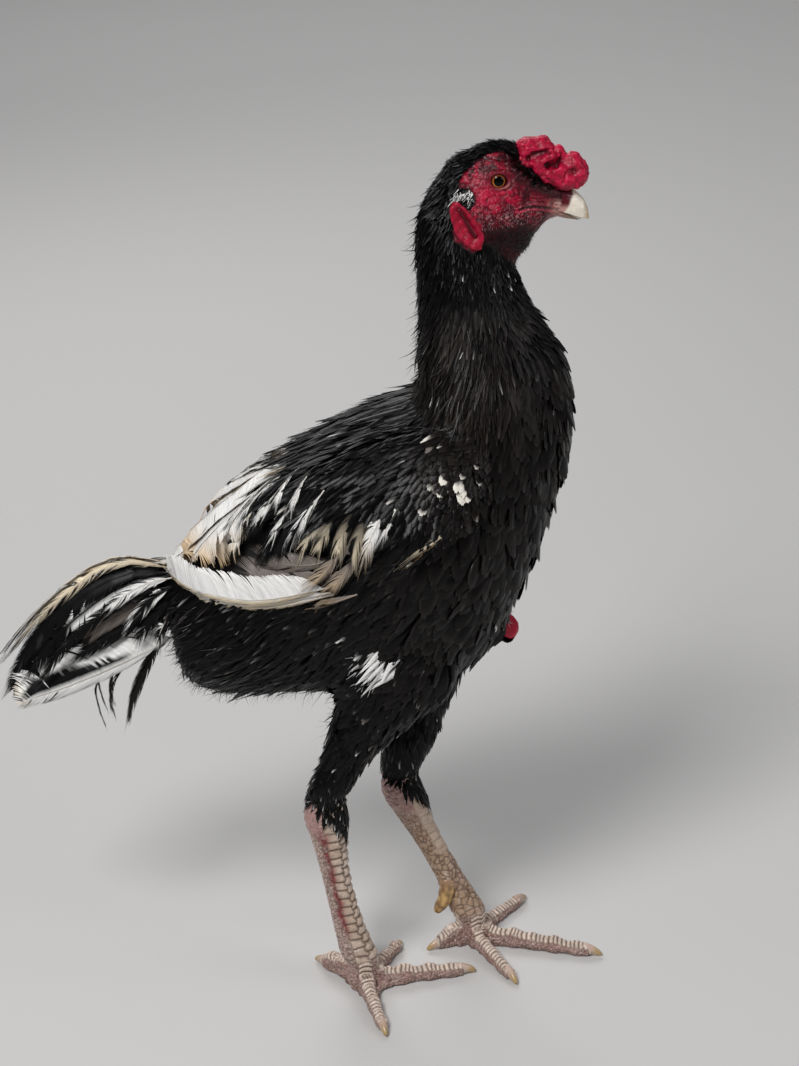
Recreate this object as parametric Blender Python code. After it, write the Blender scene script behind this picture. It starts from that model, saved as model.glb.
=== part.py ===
"""Aseel rooster, standing, at life size: a still model for display.

The bird faces +X, +Y is its left and +Z is up. It is modelled with the floor at z = 0 and then
shifted so that the origin is at the bottom centre of the whole bird. All sizes are in metres.
"""

import math
import random

import bmesh
import bpy
from mathutils import Matrix, Vector
from mathutils.bvhtree import BVHTree

# Gaps between touching nodes
GAP = 0.0003
CLEAR = 0.0004

# Feather vanes: thickness, how far the edges droop, and the width at each place along the midline
VANE_THICK, VANE_DROOP = 0.0010, 0.10
VANE_PLACES = (0.0, 0.25, 0.55, 0.82, 1.0)
VANE_WIDTHS = (0.45, 0.85, 1.0, 0.78)

# Flesh of the body from the tail root to the base of the beak. Each row is one section:
# the back or crown point (x, z), the belly or throat point (x, z) and the half width.
BODY_ROWS = (
    (-0.164, 0.334, -0.161, 0.288, 0.024),
    (-0.155, 0.343, -0.158, 0.262, 0.044),
    (-0.120, 0.380, -0.130, 0.241, 0.058),
    (-0.055, 0.424, -0.052, 0.240, 0.068),
    (-0.002, 0.450, 0.042, 0.250, 0.071),
    (0.018, 0.461, 0.084, 0.314, 0.067),
    (0.0195, 0.480, 0.115, 0.402, 0.057),
    (0.0192, 0.496, 0.1215, 0.446, 0.050),
    (0.0190, 0.514, 0.1160, 0.484, 0.042),
    (0.0188, 0.533, 0.0960, 0.518, 0.0345),
    (0.0186, 0.553, 0.0860, 0.545, 0.0295),
    (0.0215, 0.584, 0.0895, 0.5555, 0.0255),
    (0.0440, 0.6165, 0.0945, 0.5625, 0.0225),
    (0.0740, 0.6250, 0.0990, 0.5690, 0.0205),
    (0.1000, 0.6130, 0.1050, 0.5755, 0.0150),
    (0.1110, 0.6010, 0.1110, 0.5772, 0.0105),
)
BODY_SIDES = 24
# The parts of the body: from one place in BODY_ROWS to another, and the number of rings
BODY_PARTS = {
    "torso_rear": (0.0, 4.0, 11), "torso_front": (4.0, 6.6, 8), "neck_lower": (6.6, 9.0, 7),
    "neck_upper": (9.0, 11.0, 6), "head": (11.0, 15.0, 14),
}
TORSO, FACE = ("torso_rear", "torso_front"), ("neck_upper", "head")
KEEL_FROM, KEEL_TO, KEEL_NARROWS = 3.0, 9.0, 0.24

# Head
EYE = Vector((0.0725, 0.0140, 0.6070))
EYE_RADIUS = 0.0062
LID_Y, LID_RADIUS, LID_THICK, LID_FLATTER = 0.0176, 0.0052, 0.0013, 0.88
LID_AROUND, LID_ACROSS = 12, 5
# Forms of the face: place, reach, and how far each stands out. They fade out near the middle.
SOCKET = (EYE, 0.0080, -0.0030)
BROW = (Vector((0.0740, 0.0, 0.6170)), 0.0070, 0.0020)
CHEEK = (Vector((0.0660, 0.0, 0.5900)), 0.0100, 0.0018)
FORM_FADE = 0.012
# The line between the jaws, from the corner of the mouth to the tip of the beak (x, z)
MOUTH_LINE = ((0.0855, 0.5831), (0.0993, 0.5853), (0.1134, 0.5825), (0.1245, 0.5776), (0.1330, 0.5745))
MOUTH_OPEN, MOUTH_REACH, MOUTH_STEPS = 0.0006, 0.03, 7
# Rows of each half of the beak: x, height of its ridge or keel, half width
UPPER_BEAK = ((0.1113, 0.6005, 0.0096), (0.1180, 0.5978, 0.0088), (0.1240, 0.5938, 0.0073),
              (0.1288, 0.5885, 0.0052), (0.1315, 0.5825, 0.0030))
LOWER_BEAK = ((0.1113, 0.5775, 0.0082), (0.1170, 0.5757, 0.0070), (0.1220, 0.5747, 0.0052),
              (0.1256, 0.5742, 0.0030))
UPPER_TIP, LOWER_TIP = Vector((0.1326, 0, 0.5738)), Vector((0.1278, 0, 0.5752))
NOSTRIL, NOSTRIL_SIZE = Vector((0.1150, 0.0085, 0.5935)), (0.0022, 0.0022, 0.0010)

# Lobes of the comb: centre (x, y, z), then half length, half width and half height
COMB_MIDDLE = ((0.0975, 0.0, 0.6195, 0.0140, 0.0105, 0.0120), (0.1105, 0.0, 0.6140, 0.0095, 0.0085, 0.0100),
               (0.1215, 0.0, 0.6050, 0.0110, 0.0100, 0.0105))
COMB_SIDE = ((0.0990, 0.0080, 0.6150, 0.0095, 0.0060, 0.0085), (0.1100, 0.0085, 0.6090, 0.0090, 0.0060, 0.0075),
             (0.1195, 0.0078, 0.6035, 0.0085, 0.0055, 0.0065))
EARLOBE = ((0.0424, 0.5873), (0.0435, 0.5790), (0.0470, 0.5715), (0.0534, 0.5660), (0.0598, 0.5639),
           (0.0625, 0.5725), (0.0592, 0.5810), (0.0530, 0.5860), (0.0470, 0.5905))
EARLOBE_CENTRE, EARLOBE_RIM, EARLOBE_HOLLOW, EARLOBE_UNDER = (0.0525, 0.5770), 0.0034, 0.0016, -0.003

# How the side of the body is read: the step between probes, the least distance from the middle that
# still counts, and the strips left out below and above
PROBE, FLANK_LEAST, FLANK_BELOW, FLANK_ABOVE = 0.012, 0.018, 0.010, 0.006
# The steepest slope that is followed, and how much of it goes on past the ends of the side
FLANK_STEEPEST, FLANK_RUN_ON = 0.9, 0.6
# The arm of each wing, as an outline over the flank (x, z), and its height at shares of that outline
ARM = ((0.058, 0.405), (0.052, 0.430), (0.030, 0.447), (-0.010, 0.444), (-0.042, 0.428), (-0.058, 0.400),
       (-0.055, 0.368), (-0.030, 0.350), (0.010, 0.350), (0.046, 0.370))
ARM_CENTRE = (0.0, 0.398)
ARM_RISE = ((1.0, 0.0015), (0.96, 0.0045), (0.80, 0.0085), (0.45, 0.0108))
ARM_UNDER = -0.004
# Each tier of wing feathers: count, first and last root and first and last tip (x, z),
# then half width, bend of the midline, and its height over the flank at root and tip
WING_TIERS = {
    "inner primary": (4, (-0.040, 0.356), (-0.024, 0.352), (-0.130, 0.343), (-0.096, 0.335),
                      0.0085, 0.04, 0.0030, 0.0030),
    "outer primary": (2, (-0.046, 0.366), (-0.042, 0.358), None, None,
                      0.0120, 0.10, 0.0040, 0.0062),
    "secondary": (7, (-0.048, 0.392), (0.016, 0.360), (-0.098, 0.343), (-0.012, 0.335),
                  0.0085, 0.03, 0.0040, 0.0070),
    "tertial": (6, (-0.014, 0.434), (-0.042, 0.402), (-0.147, 0.353), (-0.104, 0.343),
                0.0095, -0.06, 0.0045, 0.0075),
    "greater covert": (7, (-0.036, 0.414), (0.034, 0.372), (-0.092, 0.372), (0.020, 0.349),
                       0.0080, 0.04, 0.0075, 0.0120),
    "median covert": (6, (-0.008, 0.430), (0.044, 0.390), (-0.058, 0.402), (0.036, 0.362),
                      0.0078, 0.04, 0.0090, 0.0160),
}
VANE_VARIES = 0.06
WING_ROLL, WING_SPREAD = math.radians(-9), 0.0012
# Tips of the outer primaries. Those of the right wing are lifted.
PRIMARY_TIPS = {"right": ((-0.161, 0.364), (-0.150, 0.352)), "left": ((-0.152, 0.345), (-0.143, 0.339))}

# The root of the tail: top (x, z), bottom (x, z) and half width
TAIL_ROWS = ((-0.1645, 0.3330, -0.1615, 0.2890, 0.0230), (-0.176, 0.343, -0.175, 0.287, 0.0190),
             (-0.190, 0.337, -0.188, 0.296, 0.0090))
TAIL_TIP = Vector((-0.196, 0, 0.316))
TAIL_SIDES = 14
# Tiers of tail feathers on each side: count, first and last root and first and last tip (x, z),
# then first and last distance from the middle, first and last lean from level in degrees,
# half width and bend of the midline
TAIL_TIERS = {
    "rectrix": (7, (-0.172, 0.334), (-0.169, 0.298), (-0.286, 0.279), (-0.262, 0.238),
                0.0035, 0.0190, 55, 84, 0.0105, -0.16),
    "tail covert": (4, (-0.171, 0.336), (-0.169, 0.304), (-0.232, 0.334), (-0.207, 0.268),
                    0.0165, 0.0240, 40, 78, 0.0080, -0.10),
    "plume": (2, (-0.172, 0.300), (-0.171, 0.294), (-0.222, 0.227), (-0.200, 0.217),
              0.0060, 0.0120, 88, 88, 0.0036, -0.16),
}
TAIL_SPREAD = 0.003

# Hackles round the foot of the neck: places in BODY_ROWS of root and tip, turns from the back in
# degrees, and how high root and tip lie over the neck
HACKLE_ROOT, HACKLE_TIP, HACKLE_TURNS, HACKLE_HALF_WIDTH = 7.5, 5.6, (9, 26, 43, 60, 77), 0.0072
HACKLE_SINK, HACKLE_LIFT, HACKLE_RISES_BY = -0.0015, 0.0030, 0.45

# Legs. The right leg stands back and the left leg forward.
# Rows of a thigh: x, z, half depth, half width
THIGH_ROWS = {
    "right": ((-0.006, 0.325, 0.030, 0.012), (-0.004, 0.290, 0.042, 0.024), (-0.007, 0.255, 0.043, 0.027),
              (-0.029, 0.222, 0.029, 0.021), (-0.049, 0.192, 0.0195, 0.016), (-0.0610, 0.168, 0.0155, 0.013)),
    "left": ((0.008, 0.325, 0.030, 0.012), (0.010, 0.290, 0.042, 0.024), (0.012, 0.250, 0.041, 0.027),
             (0.007, 0.205, 0.028, 0.021), (-0.001, 0.172, 0.0200, 0.016), (-0.0080, 0.148, 0.0155, 0.013)),
}
THIGH_RINGS, THIGH_SIDES = 10, 16
HIP_Y, HOCK_Y, FOOT_Y = 0.041, 0.032, 0.027
SHANK_ROWS = {
    "right": ((-0.0610, 0.1677, 0.0145, 0.0120), (-0.0622, 0.1500, 0.0155, 0.0130),
              (-0.0605, 0.1320, 0.0128, 0.0105), (-0.0575, 0.1000, 0.0100, 0.0085),
              (-0.0510, 0.0600, 0.0108, 0.0090), (-0.0450, 0.0330, 0.0130, 0.0115)),
    "left": ((-0.0080, 0.1477, 0.0145, 0.0120), (-0.0060, 0.1310, 0.0155, 0.0130),
             (0.0010, 0.1130, 0.0130, 0.0105), (0.0130, 0.0870, 0.0104, 0.0085),
             (0.0275, 0.0560, 0.0110, 0.0090), (0.0375, 0.0330, 0.0130, 0.0115)),
}
FOOT = {"right": (-0.0415, -FOOT_Y), "left": (0.0415, FOOT_Y)}
# Rows of the pad under a shank: height and radius, down to the sole
PAD_ROWS = ((0.0220, 0.0150), (0.0090, 0.0170), (0.0, 0.0150))
SHANK_SIDES, SHANK_SCUTES, SCUTE_STEP = 12, 9, 0.0008
# Where the shank's scutes start and end, as shares of its rows, and how much of its pitch each covers
SCUTES_FROM, SCUTES_TO, SCUTE_SHARE = 0.9, 5.0, 0.88
# Each toe: where its claw ends on the floor (x, y), half width at the root, scutes
TOES = {
    "right": {"hallux": (-0.0790, 0.0080, 0.0052, 3), "inner_toe": (-0.0110, 0.0240, 0.0056, 5),
              "middle_toe": (0.0440, -0.0165, 0.0066, 9), "outer_toe": (-0.0250, -0.0930, 0.0058, 7)},
    "left": {"hallux": (0.0060, 0.0120, 0.0052, 3), "inner_toe": (0.0730, -0.0370, 0.0058, 7),
             "middle_toe": (0.1400, -0.0040, 0.0066, 10), "outer_toe": (0.0880, 0.0790, 0.0056, 6)},
}
TOE_SIDES, TOE_TAPER, TOE_HEIGHT = 8, 0.72, 0.0125
TOE_JOINTS, TOE_JOINT_RISE = 3, 0.06
CLAW_LENGTH, CLAW_SIDES, CLAW_RINGS = 0.0125, 6, 4
# Height of a claw's middle at its root, and how far it comes down to the tip
CLAW_HEIGHT, CLAW_DROP = 0.0052, 0.0044
SPUR_HEIGHT, SPUR_LENGTH, SPUR_RADIUS, SPUR_RINGS = 0.0540, 0.0230, 0.0052, 5
# The spur's direction: forward, away from the middle, up
SPUR_ALONG = (-0.62, -0.30, -0.72)


def spline(before, here, there, after, share):
    """A Catmull-Rom curve, at a share of the way from here to there."""
    bend = 2 * before - 5 * here + 4 * there - after
    swing = 3 * here - before - 3 * there + after
    return 0.5 * (2 * here + (there - before) * share + bend * share ** 2 + swing * share ** 3)


def smooth_rows(rows, place):
    """The row at a place between rows, on a smooth curve through them."""
    last = len(rows) - 1
    i = min(int(place), last - 1)
    around = [rows[max(0, min(last, i + k))] for k in (-1, 0, 1, 2)]
    return tuple(spline(*values, place - i) for values in zip(*around))


def smooth_loop(points, count):
    """Evenly shared points on a smooth closed curve through the given ones."""
    n = len(points)
    made = []
    for k in range(count):
        place = k * n / count
        around = [points[(int(place) + j) % n] for j in (-1, 0, 1, 2)]
        made.append(tuple(spline(*values, place % 1) for values in zip(*around)))
    return made


def between(low, high, share):
    return low + (high - low) * share


def material(name, colour, roughness, metallic=0.0):
    made = bpy.data.materials.get(name) or bpy.data.materials.new(name)
    made.use_nodes = True
    shader = made.node_tree.nodes["Principled BSDF"]
    shader.inputs["Base Color"].default_value = (*colour, 1.0)
    shader.inputs["Roughness"].default_value = roughness
    shader.inputs["Metallic"].default_value = metallic
    return made


def shade(mesh):
    mesh.shade_smooth()
    mesh.set_sharp_from_angle(angle=math.radians(40))


def make(name, points, faces, finish=None):
    """A mesh object of closed faces, with its normals turned out."""
    mesh = bpy.data.meshes.new(name)
    mesh.from_pydata([tuple(p) for p in points], [], faces)
    body = bmesh.new()
    body.from_mesh(mesh)
    bmesh.ops.recalc_face_normals(body, faces=body.faces)
    body.to_mesh(mesh)
    body.free()
    obj = bpy.data.objects.new(name, mesh)
    bpy.context.scene.collection.objects.link(obj)
    if finish:
        mesh.materials.append(finish)
    shade(mesh)
    return obj


def skin_rings(name, rings, finish=None, root=None, tip=None):
    """A closed tube through rings of equal length. Each end is flat, or runs to the point given."""
    sides = len(rings[0])
    points = [p for ring in rings for p in ring]
    faces = []
    for r in range(len(rings) - 1):
        for s in range(sides):
            a, b = r * sides + s, r * sides + (s + 1) % sides
            faces += [(a, b, b + sides), (a, b + sides, a + sides)]
    for first, point in ((0, root), ((len(rings) - 1) * sides, tip)):
        if point is None:
            faces.append(tuple(range(first, first + sides)))
        else:
            points.append(point)
            faces += [(first + s, first + (s + 1) % sides, len(points) - 1) for s in range(sides)]
    return make(name, points, faces, finish)


def oval(centre, half_x, half_y, sides, axis_x=Vector((1, 0, 0)), axis_y=Vector((0, 1, 0))):
    turns = [2 * math.pi * s / sides for s in range(sides)]
    return [centre + axis_x * (half_x * math.cos(a)) + axis_y * (half_y * math.sin(a)) for a in turns]


def keep_largest(obj):
    """Keeps the largest closed surface of a mesh and drops the rest."""
    body = bmesh.new()
    body.from_mesh(obj.data)
    left = set(body.faces)
    groups = []
    while left:
        seed = left.pop()
        group, stack = {seed}, [seed]
        while stack:
            for edge in stack.pop().edges:
                for face in edge.link_faces:
                    if face in left:
                        left.discard(face)
                        group.add(face)
                        stack.append(face)
        groups.append(group)
    groups.sort(key=lambda group: sum(face.calc_area() for face in group))
    for group in groups[:-1]:
        bmesh.ops.delete(body, geom=list(group), context="FACES")
    loose = [v for v in body.verts if not v.link_faces]
    bmesh.ops.delete(body, geom=loose, context="VERTS")
    bmesh.ops.triangulate(body, faces=body.faces)
    body.to_mesh(obj.data)
    body.free()


def apply_boolean(obj, operation, target=None, group=None):
    modifier = obj.modifiers.new("join", "BOOLEAN")
    modifier.operation = operation
    modifier.solver = "EXACT"
    if group is not None:
        modifier.operand_type = "COLLECTION"
        modifier.collection = group
    else:
        modifier.object = target
    finish = list(obj.data.materials)
    made = bpy.data.meshes.new_from_object(obj.evaluated_get(bpy.context.evaluated_depsgraph_get()))
    obj.modifiers.remove(modifier)
    obj.data = made
    made.materials.clear()
    for one in finish:
        made.materials.append(one)
    keep_largest(obj)
    shade(made)


def fuse(obj, pieces):
    """Joins closed pieces to obj with one Boolean union and removes them."""
    group = bpy.data.collections.new(obj.name + "_pieces")
    for piece in pieces:
        group.objects.link(piece)
    apply_boolean(obj, "UNION", group=group)
    for piece in pieces:
        bpy.data.objects.remove(piece)
    bpy.data.collections.remove(group)
    return obj


def cut(obj, cutters):
    for cutter in cutters:
        apply_boolean(obj, "DIFFERENCE", target=cutter)
        bpy.data.objects.remove(cutter)
    return obj


def inflated(obj, by=CLEAR):
    """A copy with its surface moved out, for cutting a neighbour clear."""
    copy = bpy.data.objects.new(obj.name + "_clearance", obj.data.copy())
    bpy.context.scene.collection.objects.link(copy)
    for vertex, normal in zip(copy.data.vertices, [v.normal.copy() for v in obj.data.vertices]):
        vertex.co += normal * by
    return copy


def cut_clear(obj, others):
    """Cuts obj back so that a thin gap stays between it and each of the others."""
    return cut(obj, [inflated(other) for other in others])


def body_section(place):
    """Centre, up direction, half height, half width and keel of the body at a place in BODY_ROWS."""
    top_x, top_z, low_x, low_z, half_width = smooth_rows(BODY_ROWS, place)
    top, low = Vector((top_x, 0, top_z)), Vector((low_x, 0, low_z))
    middle, reach = (KEEL_FROM + KEEL_TO) / 2, (KEEL_TO - KEEL_FROM) / 2
    keel = KEEL_NARROWS * max(0.0, 1 - ((place - middle) / reach) ** 2)
    return (top + low) / 2, (top - low).normalized(), (top - low).length / 2, half_width, keel


def body_point(place, angle):
    """A point of the body's surface. Angle 0 is the back, a half turn the belly, and positive the left."""
    centre, up, half_height, half_width, keel = body_section(place)
    low = (1 - math.cos(angle)) / 2
    width = half_width * math.sin(angle) * (1 - keel * low ** 2)
    return centre + up * (half_height * math.cos(angle)) + Vector((0, width, 0))


def body_normal(place, angle):
    """The outward direction of the body's surface."""
    step = 0.03
    along = body_point(place + step, angle) - body_point(place - step, angle)
    around = body_point(place, angle + step) - body_point(place, angle - step)
    normal = along.cross(around).normalized()
    outward = body_point(place, angle) - body_section(place)[0]
    return normal if normal.dot(outward) > 0 else -normal


def head_shape(point):
    """Sinks the eye socket and raises the brow and the cheek on both sides."""
    moved = point.copy()
    side = 1 if point.y > 0 else -1
    for place, reach, by in (SOCKET, BROW, CHEEK):
        distance = math.hypot(point.x - place.x, point.z - place.z)
        weight = math.exp(-((distance / reach) ** 2)) * min(1, abs(point.y) / FORM_FADE)
        moved.y += side * by * weight
    return moved


def body_rings(name):
    low, high, count = BODY_PARTS[name]
    places = [between(low, high, r / (count - 1)) for r in range(count)]
    turns = [2 * math.pi * s / BODY_SIDES for s in range(BODY_SIDES)]
    return [[head_shape(body_point(place, turn)) for turn in turns] for place in places]


def body_part(name, finish):
    """One part of the body, with half of the gap taken off each end."""
    rings = body_rings(name)
    for ring, inner in ((rings[0], rings[1]), (rings[-1], rings[-2])):
        up = (ring[0] - ring[BODY_SIDES // 2]).normalized()
        towards = (sum(inner, Vector()) - sum(ring, Vector())) / BODY_SIDES
        normal = (towards - up * towards.dot(up)).normalized()
        for point in ring:
            point += normal * (GAP / 2)
    return skin_rings(name, rings, finish)


def body_cutter(names):
    """Parts of the body as one plain form with its surface moved out, for cutting a neighbour clear."""
    rings = body_rings(names[0])
    for name in names[1:]:
        rings += body_rings(name)[1:]
    whole = skin_rings("body", rings)
    cutter = inflated(whole)
    bpy.data.objects.remove(whole)
    return cutter


def ball(name, centre, size, around=16, down=8, finish=None):
    """A closed ellipsoid with its poles along Z."""
    rings = []
    for r in range(1, down):
        a = math.pi * r / down
        middle = centre - Vector((0, 0, size[2] * math.cos(a)))
        rings.append(oval(middle, size[0] * math.sin(a), size[1] * math.sin(a), around))
    ends = centre - Vector((0, 0, size[2])), centre + Vector((0, 0, size[2]))
    return skin_rings(name, rings, finish, *ends)


def lid_ring(side):
    """The rim of both lids round one eye."""
    points, faces = [], []
    for a in range(LID_AROUND):
        turn = 2 * math.pi * a / LID_AROUND
        out = Vector((math.cos(turn), 0, LID_FLATTER * math.sin(turn)))
        middle = Vector((EYE.x, side * LID_Y, EYE.z)) + out * LID_RADIUS
        for b in range(LID_ACROSS):
            roll = 2 * math.pi * b / LID_ACROSS
            outward = Vector((0, math.sin(roll), 0))
            points.append(middle + (out * math.cos(roll) + outward) * LID_THICK)
    for a in range(LID_AROUND):
        here, there = a * LID_ACROSS, (a + 1) % LID_AROUND * LID_ACROSS
        for b in range(LID_ACROSS):
            c = (b + 1) % LID_ACROSS
            faces.append((here + b, here + c, there + c, there + b))
    return make("lids", points, faces)


def mouth_height(x):
    """The height of the line between the jaws, by linear steps between its named points."""
    for (x0, z0), (x1, z1) in zip(MOUTH_LINE, MOUTH_LINE[1:]):
        if x <= x1:
            return between(z0, z1, (x - x0) / (x1 - x0))
    return MOUTH_LINE[-1][1]


def mouth_slot():
    """A thin wedge through the face along the mouth line, open at the beak and closing at the corners."""
    rings = []
    start, end = MOUTH_LINE[0][0], BODY_ROWS[-1][0] + 0.002
    for k in range(MOUTH_STEPS):
        share = k / (MOUTH_STEPS - 1)
        x = between(start, end, share)
        z, half = mouth_height(x), MOUTH_OPEN / 2 * between(0.4, 1, share)
        corners = ((-MOUTH_REACH, -half), (MOUTH_REACH, -half), (MOUTH_REACH, half), (-MOUTH_REACH, half))
        rings.append([Vector((x, y, z + up)) for y, up in corners])
    return skin_rings("mouth_slot", rings)


def make_head(skin):
    head = body_part("head", skin)
    fuse(head, [lid_ring(1), lid_ring(-1)])
    cut(head, [mouth_slot()])
    return head


def make_eye(side, finish):
    name = "eye_left" if side > 0 else "eye_right"
    return ball(name, Vector((EYE.x, side * EYE.y, EYE.z)), [EYE_RADIUS] * 3, 12, 8, finish)


def arch(x, foot, crown, half_width, count=9):
    """A half oval standing on a flat line at the height of foot."""
    turns = [math.pi * (k / (count - 1) - 0.5) for k in range(count)]
    return [Vector((x, half_width * math.sin(a), between(foot, crown, math.cos(a)))) for a in turns]


def make_beak(name, rows, tip, off, finish):
    rings = [arch(x, mouth_height(x) + off, z, half_width) for x, z, half_width in rows]
    return skin_rings(name, rings, finish, tip=tip)


def make_comb(finish):
    lobes = list(COMB_MIDDLE) + [(x, side * y, *rest) for x, y, *rest in COMB_SIDE for side in (1, -1)]
    balls = [ball("lobe", Vector(lobe[:3]), lobe[3:], 9, 6) for lobe in lobes]
    comb = balls[0]
    comb.name = "comb"
    comb.data.materials.append(finish)
    return fuse(comb, balls[1:])


class Flank:
    """The left side of the body as seen along Y, with a plain extension past its ends."""

    def __init__(self, names, low_x, high_x):
        whole = body_cutter(names)
        mesh = whole.data
        self.tree = BVHTree.FromPolygons([v.co for v in mesh.vertices], [p.vertices for p in mesh.polygons])
        bpy.data.objects.remove(whole)
        self.low_x, self.high_x = low_x, high_x
        self.known = {}

    def out(self, x, z):
        hit = self.tree.ray_cast(Vector((x, 1, z)), Vector((0, -1, 0)))[0]
        return 0.0 if hit is None else hit.y

    def limits(self, x):
        """The lowest and highest point of the flank that faces outward well enough to be read."""
        key = round(x, 3)
        if key not in self.known:
            heights = [z / 1000 for z in range(200, 640, 4)]
            found = [z for z in heights if self.out(key, z) > FLANK_LEAST]
            self.known[key] = (found[0] + FLANK_BELOW, found[-1] - FLANK_ABOVE)
        return self.known[key]

    def place(self, x, z, side, off):
        """The point at a height over the flank, and the outward direction there."""
        held_x = max(self.low_x, min(self.high_x, x))
        low, high = self.limits(held_x)
        held_z = max(low, min(high, z))
        steps = (-PROBE, 0, PROBE)
        spots = [
            self.out(max(self.low_x, min(self.high_x, held_x + dx)), max(low, min(high, held_z + dz)))
            for dx in steps for dz in steps
        ]
        y = (sum(spots) + spots[4]) / 10
        by_x = (sum(spots[6:9]) - sum(spots[0:3])) / (6 * PROBE)
        by_z = (spots[2] + spots[5] + spots[8] - spots[0] - spots[3] - spots[6]) / (6 * PROBE)
        y += FLANK_RUN_ON * by_x * (x - held_x)
        normal = Vector((-by_x, 1, -max(-FLANK_STEEPEST, min(FLANK_STEEPEST, by_z)))).normalized()
        point = Vector((x, y, z)) + normal * off
        return Vector((point.x, side * point.y, point.z)), Vector((normal.x, side * normal.y, normal.z))


def flank_shell(name, flank, outline, centre, heights, under, side, finish=None):
    """A shell over the flank: rings at shares of its outline, each at its height, and an under side."""
    middle = Vector(centre)

    def ring(share, height):
        spots = [middle.lerp(Vector(p), share) for p in outline]
        return [flank.place(p.x, p.y, side, height)[0] for p in spots]

    rings = [ring(0.5, under)] + [ring(share, height) for share, height in heights]
    low = flank.place(*centre, side, under)[0]
    top = flank.place(*centre, side, heights[-1][1] * 1.03)[0]
    return skin_rings(name, rings, finish, low, top)


def vane(path, normals, half_width):
    """One feather as a thin closed blade: a diamond section that runs to a point at the tip."""
    points, faces = [], []
    last = len(path) - 1
    for i in range(last):
        along = (path[i + 1] - path[max(0, i - 1)]).normalized()
        across = along.cross(normals[i]).normalized()
        up = across.cross(along).normalized()
        width = half_width * VANE_WIDTHS[i]
        droop = up * (width * VANE_DROOP)
        points += [path[i] - across * width - droop, path[i] + up * (VANE_THICK / 2)]
        points += [path[i] + across * width - droop, path[i] - up * (VANE_THICK / 2)]
    points.append(path[last])
    for i in range(last - 1):
        left, top, right, low = (4 * i + s for s in range(4))
        for middle in (top, low):
            faces += [(left, left + 4, middle + 4), (left, middle + 4, middle)]
            faces += [(middle, middle + 4, right + 4), (middle, right + 4, right)]
    tip = 4 * last
    faces += [(tip - 4 + s, tip - 4 + (s + 1) % 4, tip) for s in range(4)]
    faces += [(0, 1, 2), (0, 2, 3)]
    return make("vane", points, faces)


def midline(root, tip, bend, share):
    """A point of a feather's midline in side view. A positive bend sags, a negative one arches."""
    straight = Vector(root).lerp(Vector(tip), share)
    across = Vector((tip[1] - root[1], root[0] - tip[0]))
    if across.y > 0:
        across.negate()
    return straight + across * (bend * 4 * share * (1 - share))


def flank_vane(flank, side, root, tip, bend, heights, half_width):
    path, normals = [], []
    for share in VANE_PLACES:
        spot = midline(root, tip, bend, share)
        point, normal = flank.place(spot.x, spot.y, side, between(*heights, share))
        path.append(point)
        normals.append(normal)
    along = path[-1] - path[0]
    turn = Matrix.Rotation(side * WING_ROLL, 3, along)
    return vane(path, [turn @ normal for normal in normals], half_width)


def make_wing(side, flank, finish):
    side_name = "left" if side > 0 else "right"
    draw = random.Random(7)
    outline = smooth_loop(ARM, 20)
    wing = flank_shell("wing_" + side_name, flank, outline, ARM_CENTRE, ARM_RISE, ARM_UNDER, side, finish)
    vanes = []
    for count, root_a, root_b, tip_a, tip_b, half_width, bend, *heights in WING_TIERS.values():
        if tip_a is None:
            tip_a, tip_b = PRIMARY_TIPS[side_name]
        for k in range(count):
            share = k / (count - 1)
            root, tip = Vector(root_a).lerp(Vector(root_b), share), Vector(tip_a).lerp(Vector(tip_b), share)
            tip += Vector((draw.uniform(-WING_SPREAD, WING_SPREAD), draw.uniform(-WING_SPREAD, WING_SPREAD)))
            width = half_width * draw.uniform(1 - VANE_VARIES, 1 + VANE_VARIES)
            vanes.append(flank_vane(flank, side, root, tip, bend, heights, width))
    return fuse(wing, vanes)


def make_earlobe(side, flank, finish):
    name = "earlobe_left" if side > 0 else "earlobe_right"
    outline = smooth_loop(EARLOBE, 13)
    rise = ((1.0, 0.0006), (0.98, EARLOBE_RIM * 0.8), (0.84, EARLOBE_RIM), (0.5, EARLOBE_HOLLOW))
    return flank_shell(name, flank, outline, EARLOBE_CENTRE, rise, EARLOBE_UNDER, side, finish)


def make_tail(finish):
    rings = []
    for k in range(4):
        top_x, top_z, low_x, low_z, half_width = smooth_rows(TAIL_ROWS, k * (len(TAIL_ROWS) - 1) / 3)
        top, low = Vector((top_x, 0, top_z)), Vector((low_x, 0, low_z))
        half = (top - low) / 2
        rings.append(oval(low + half, half.length, half_width, TAIL_SIDES, half.normalized()))
    tail = skin_rings("tail", rings, finish, tip=TAIL_TIP)
    draw = random.Random(11)
    vanes = []
    for count, root_a, root_b, tip_a, tip_b, near, far, lean_a, lean_b, half_width, bend in TAIL_TIERS.values():
        for k in range(count):
            share = k / (count - 1)
            root, tip = Vector(root_a).lerp(Vector(root_b), share), Vector(tip_a).lerp(Vector(tip_b), share)
            tip.x += draw.uniform(-TAIL_SPREAD, TAIL_SPREAD)
            out, lean = between(near, far, share), math.radians(between(lean_a, lean_b, share))
            for side in (1, -1):
                path = []
                for place in VANE_PLACES:
                    spot = midline(root, tip, bend * (1 - 0.7 * share), place)
                    path.append(Vector((spot.x, side * out * between(0.8, 1, place), spot.y)))
                normal = Vector((0, side * math.sin(lean), math.cos(lean)))
                vanes.append(vane(path, [normal] * len(path), half_width))
    return fuse(tail, vanes)


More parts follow.
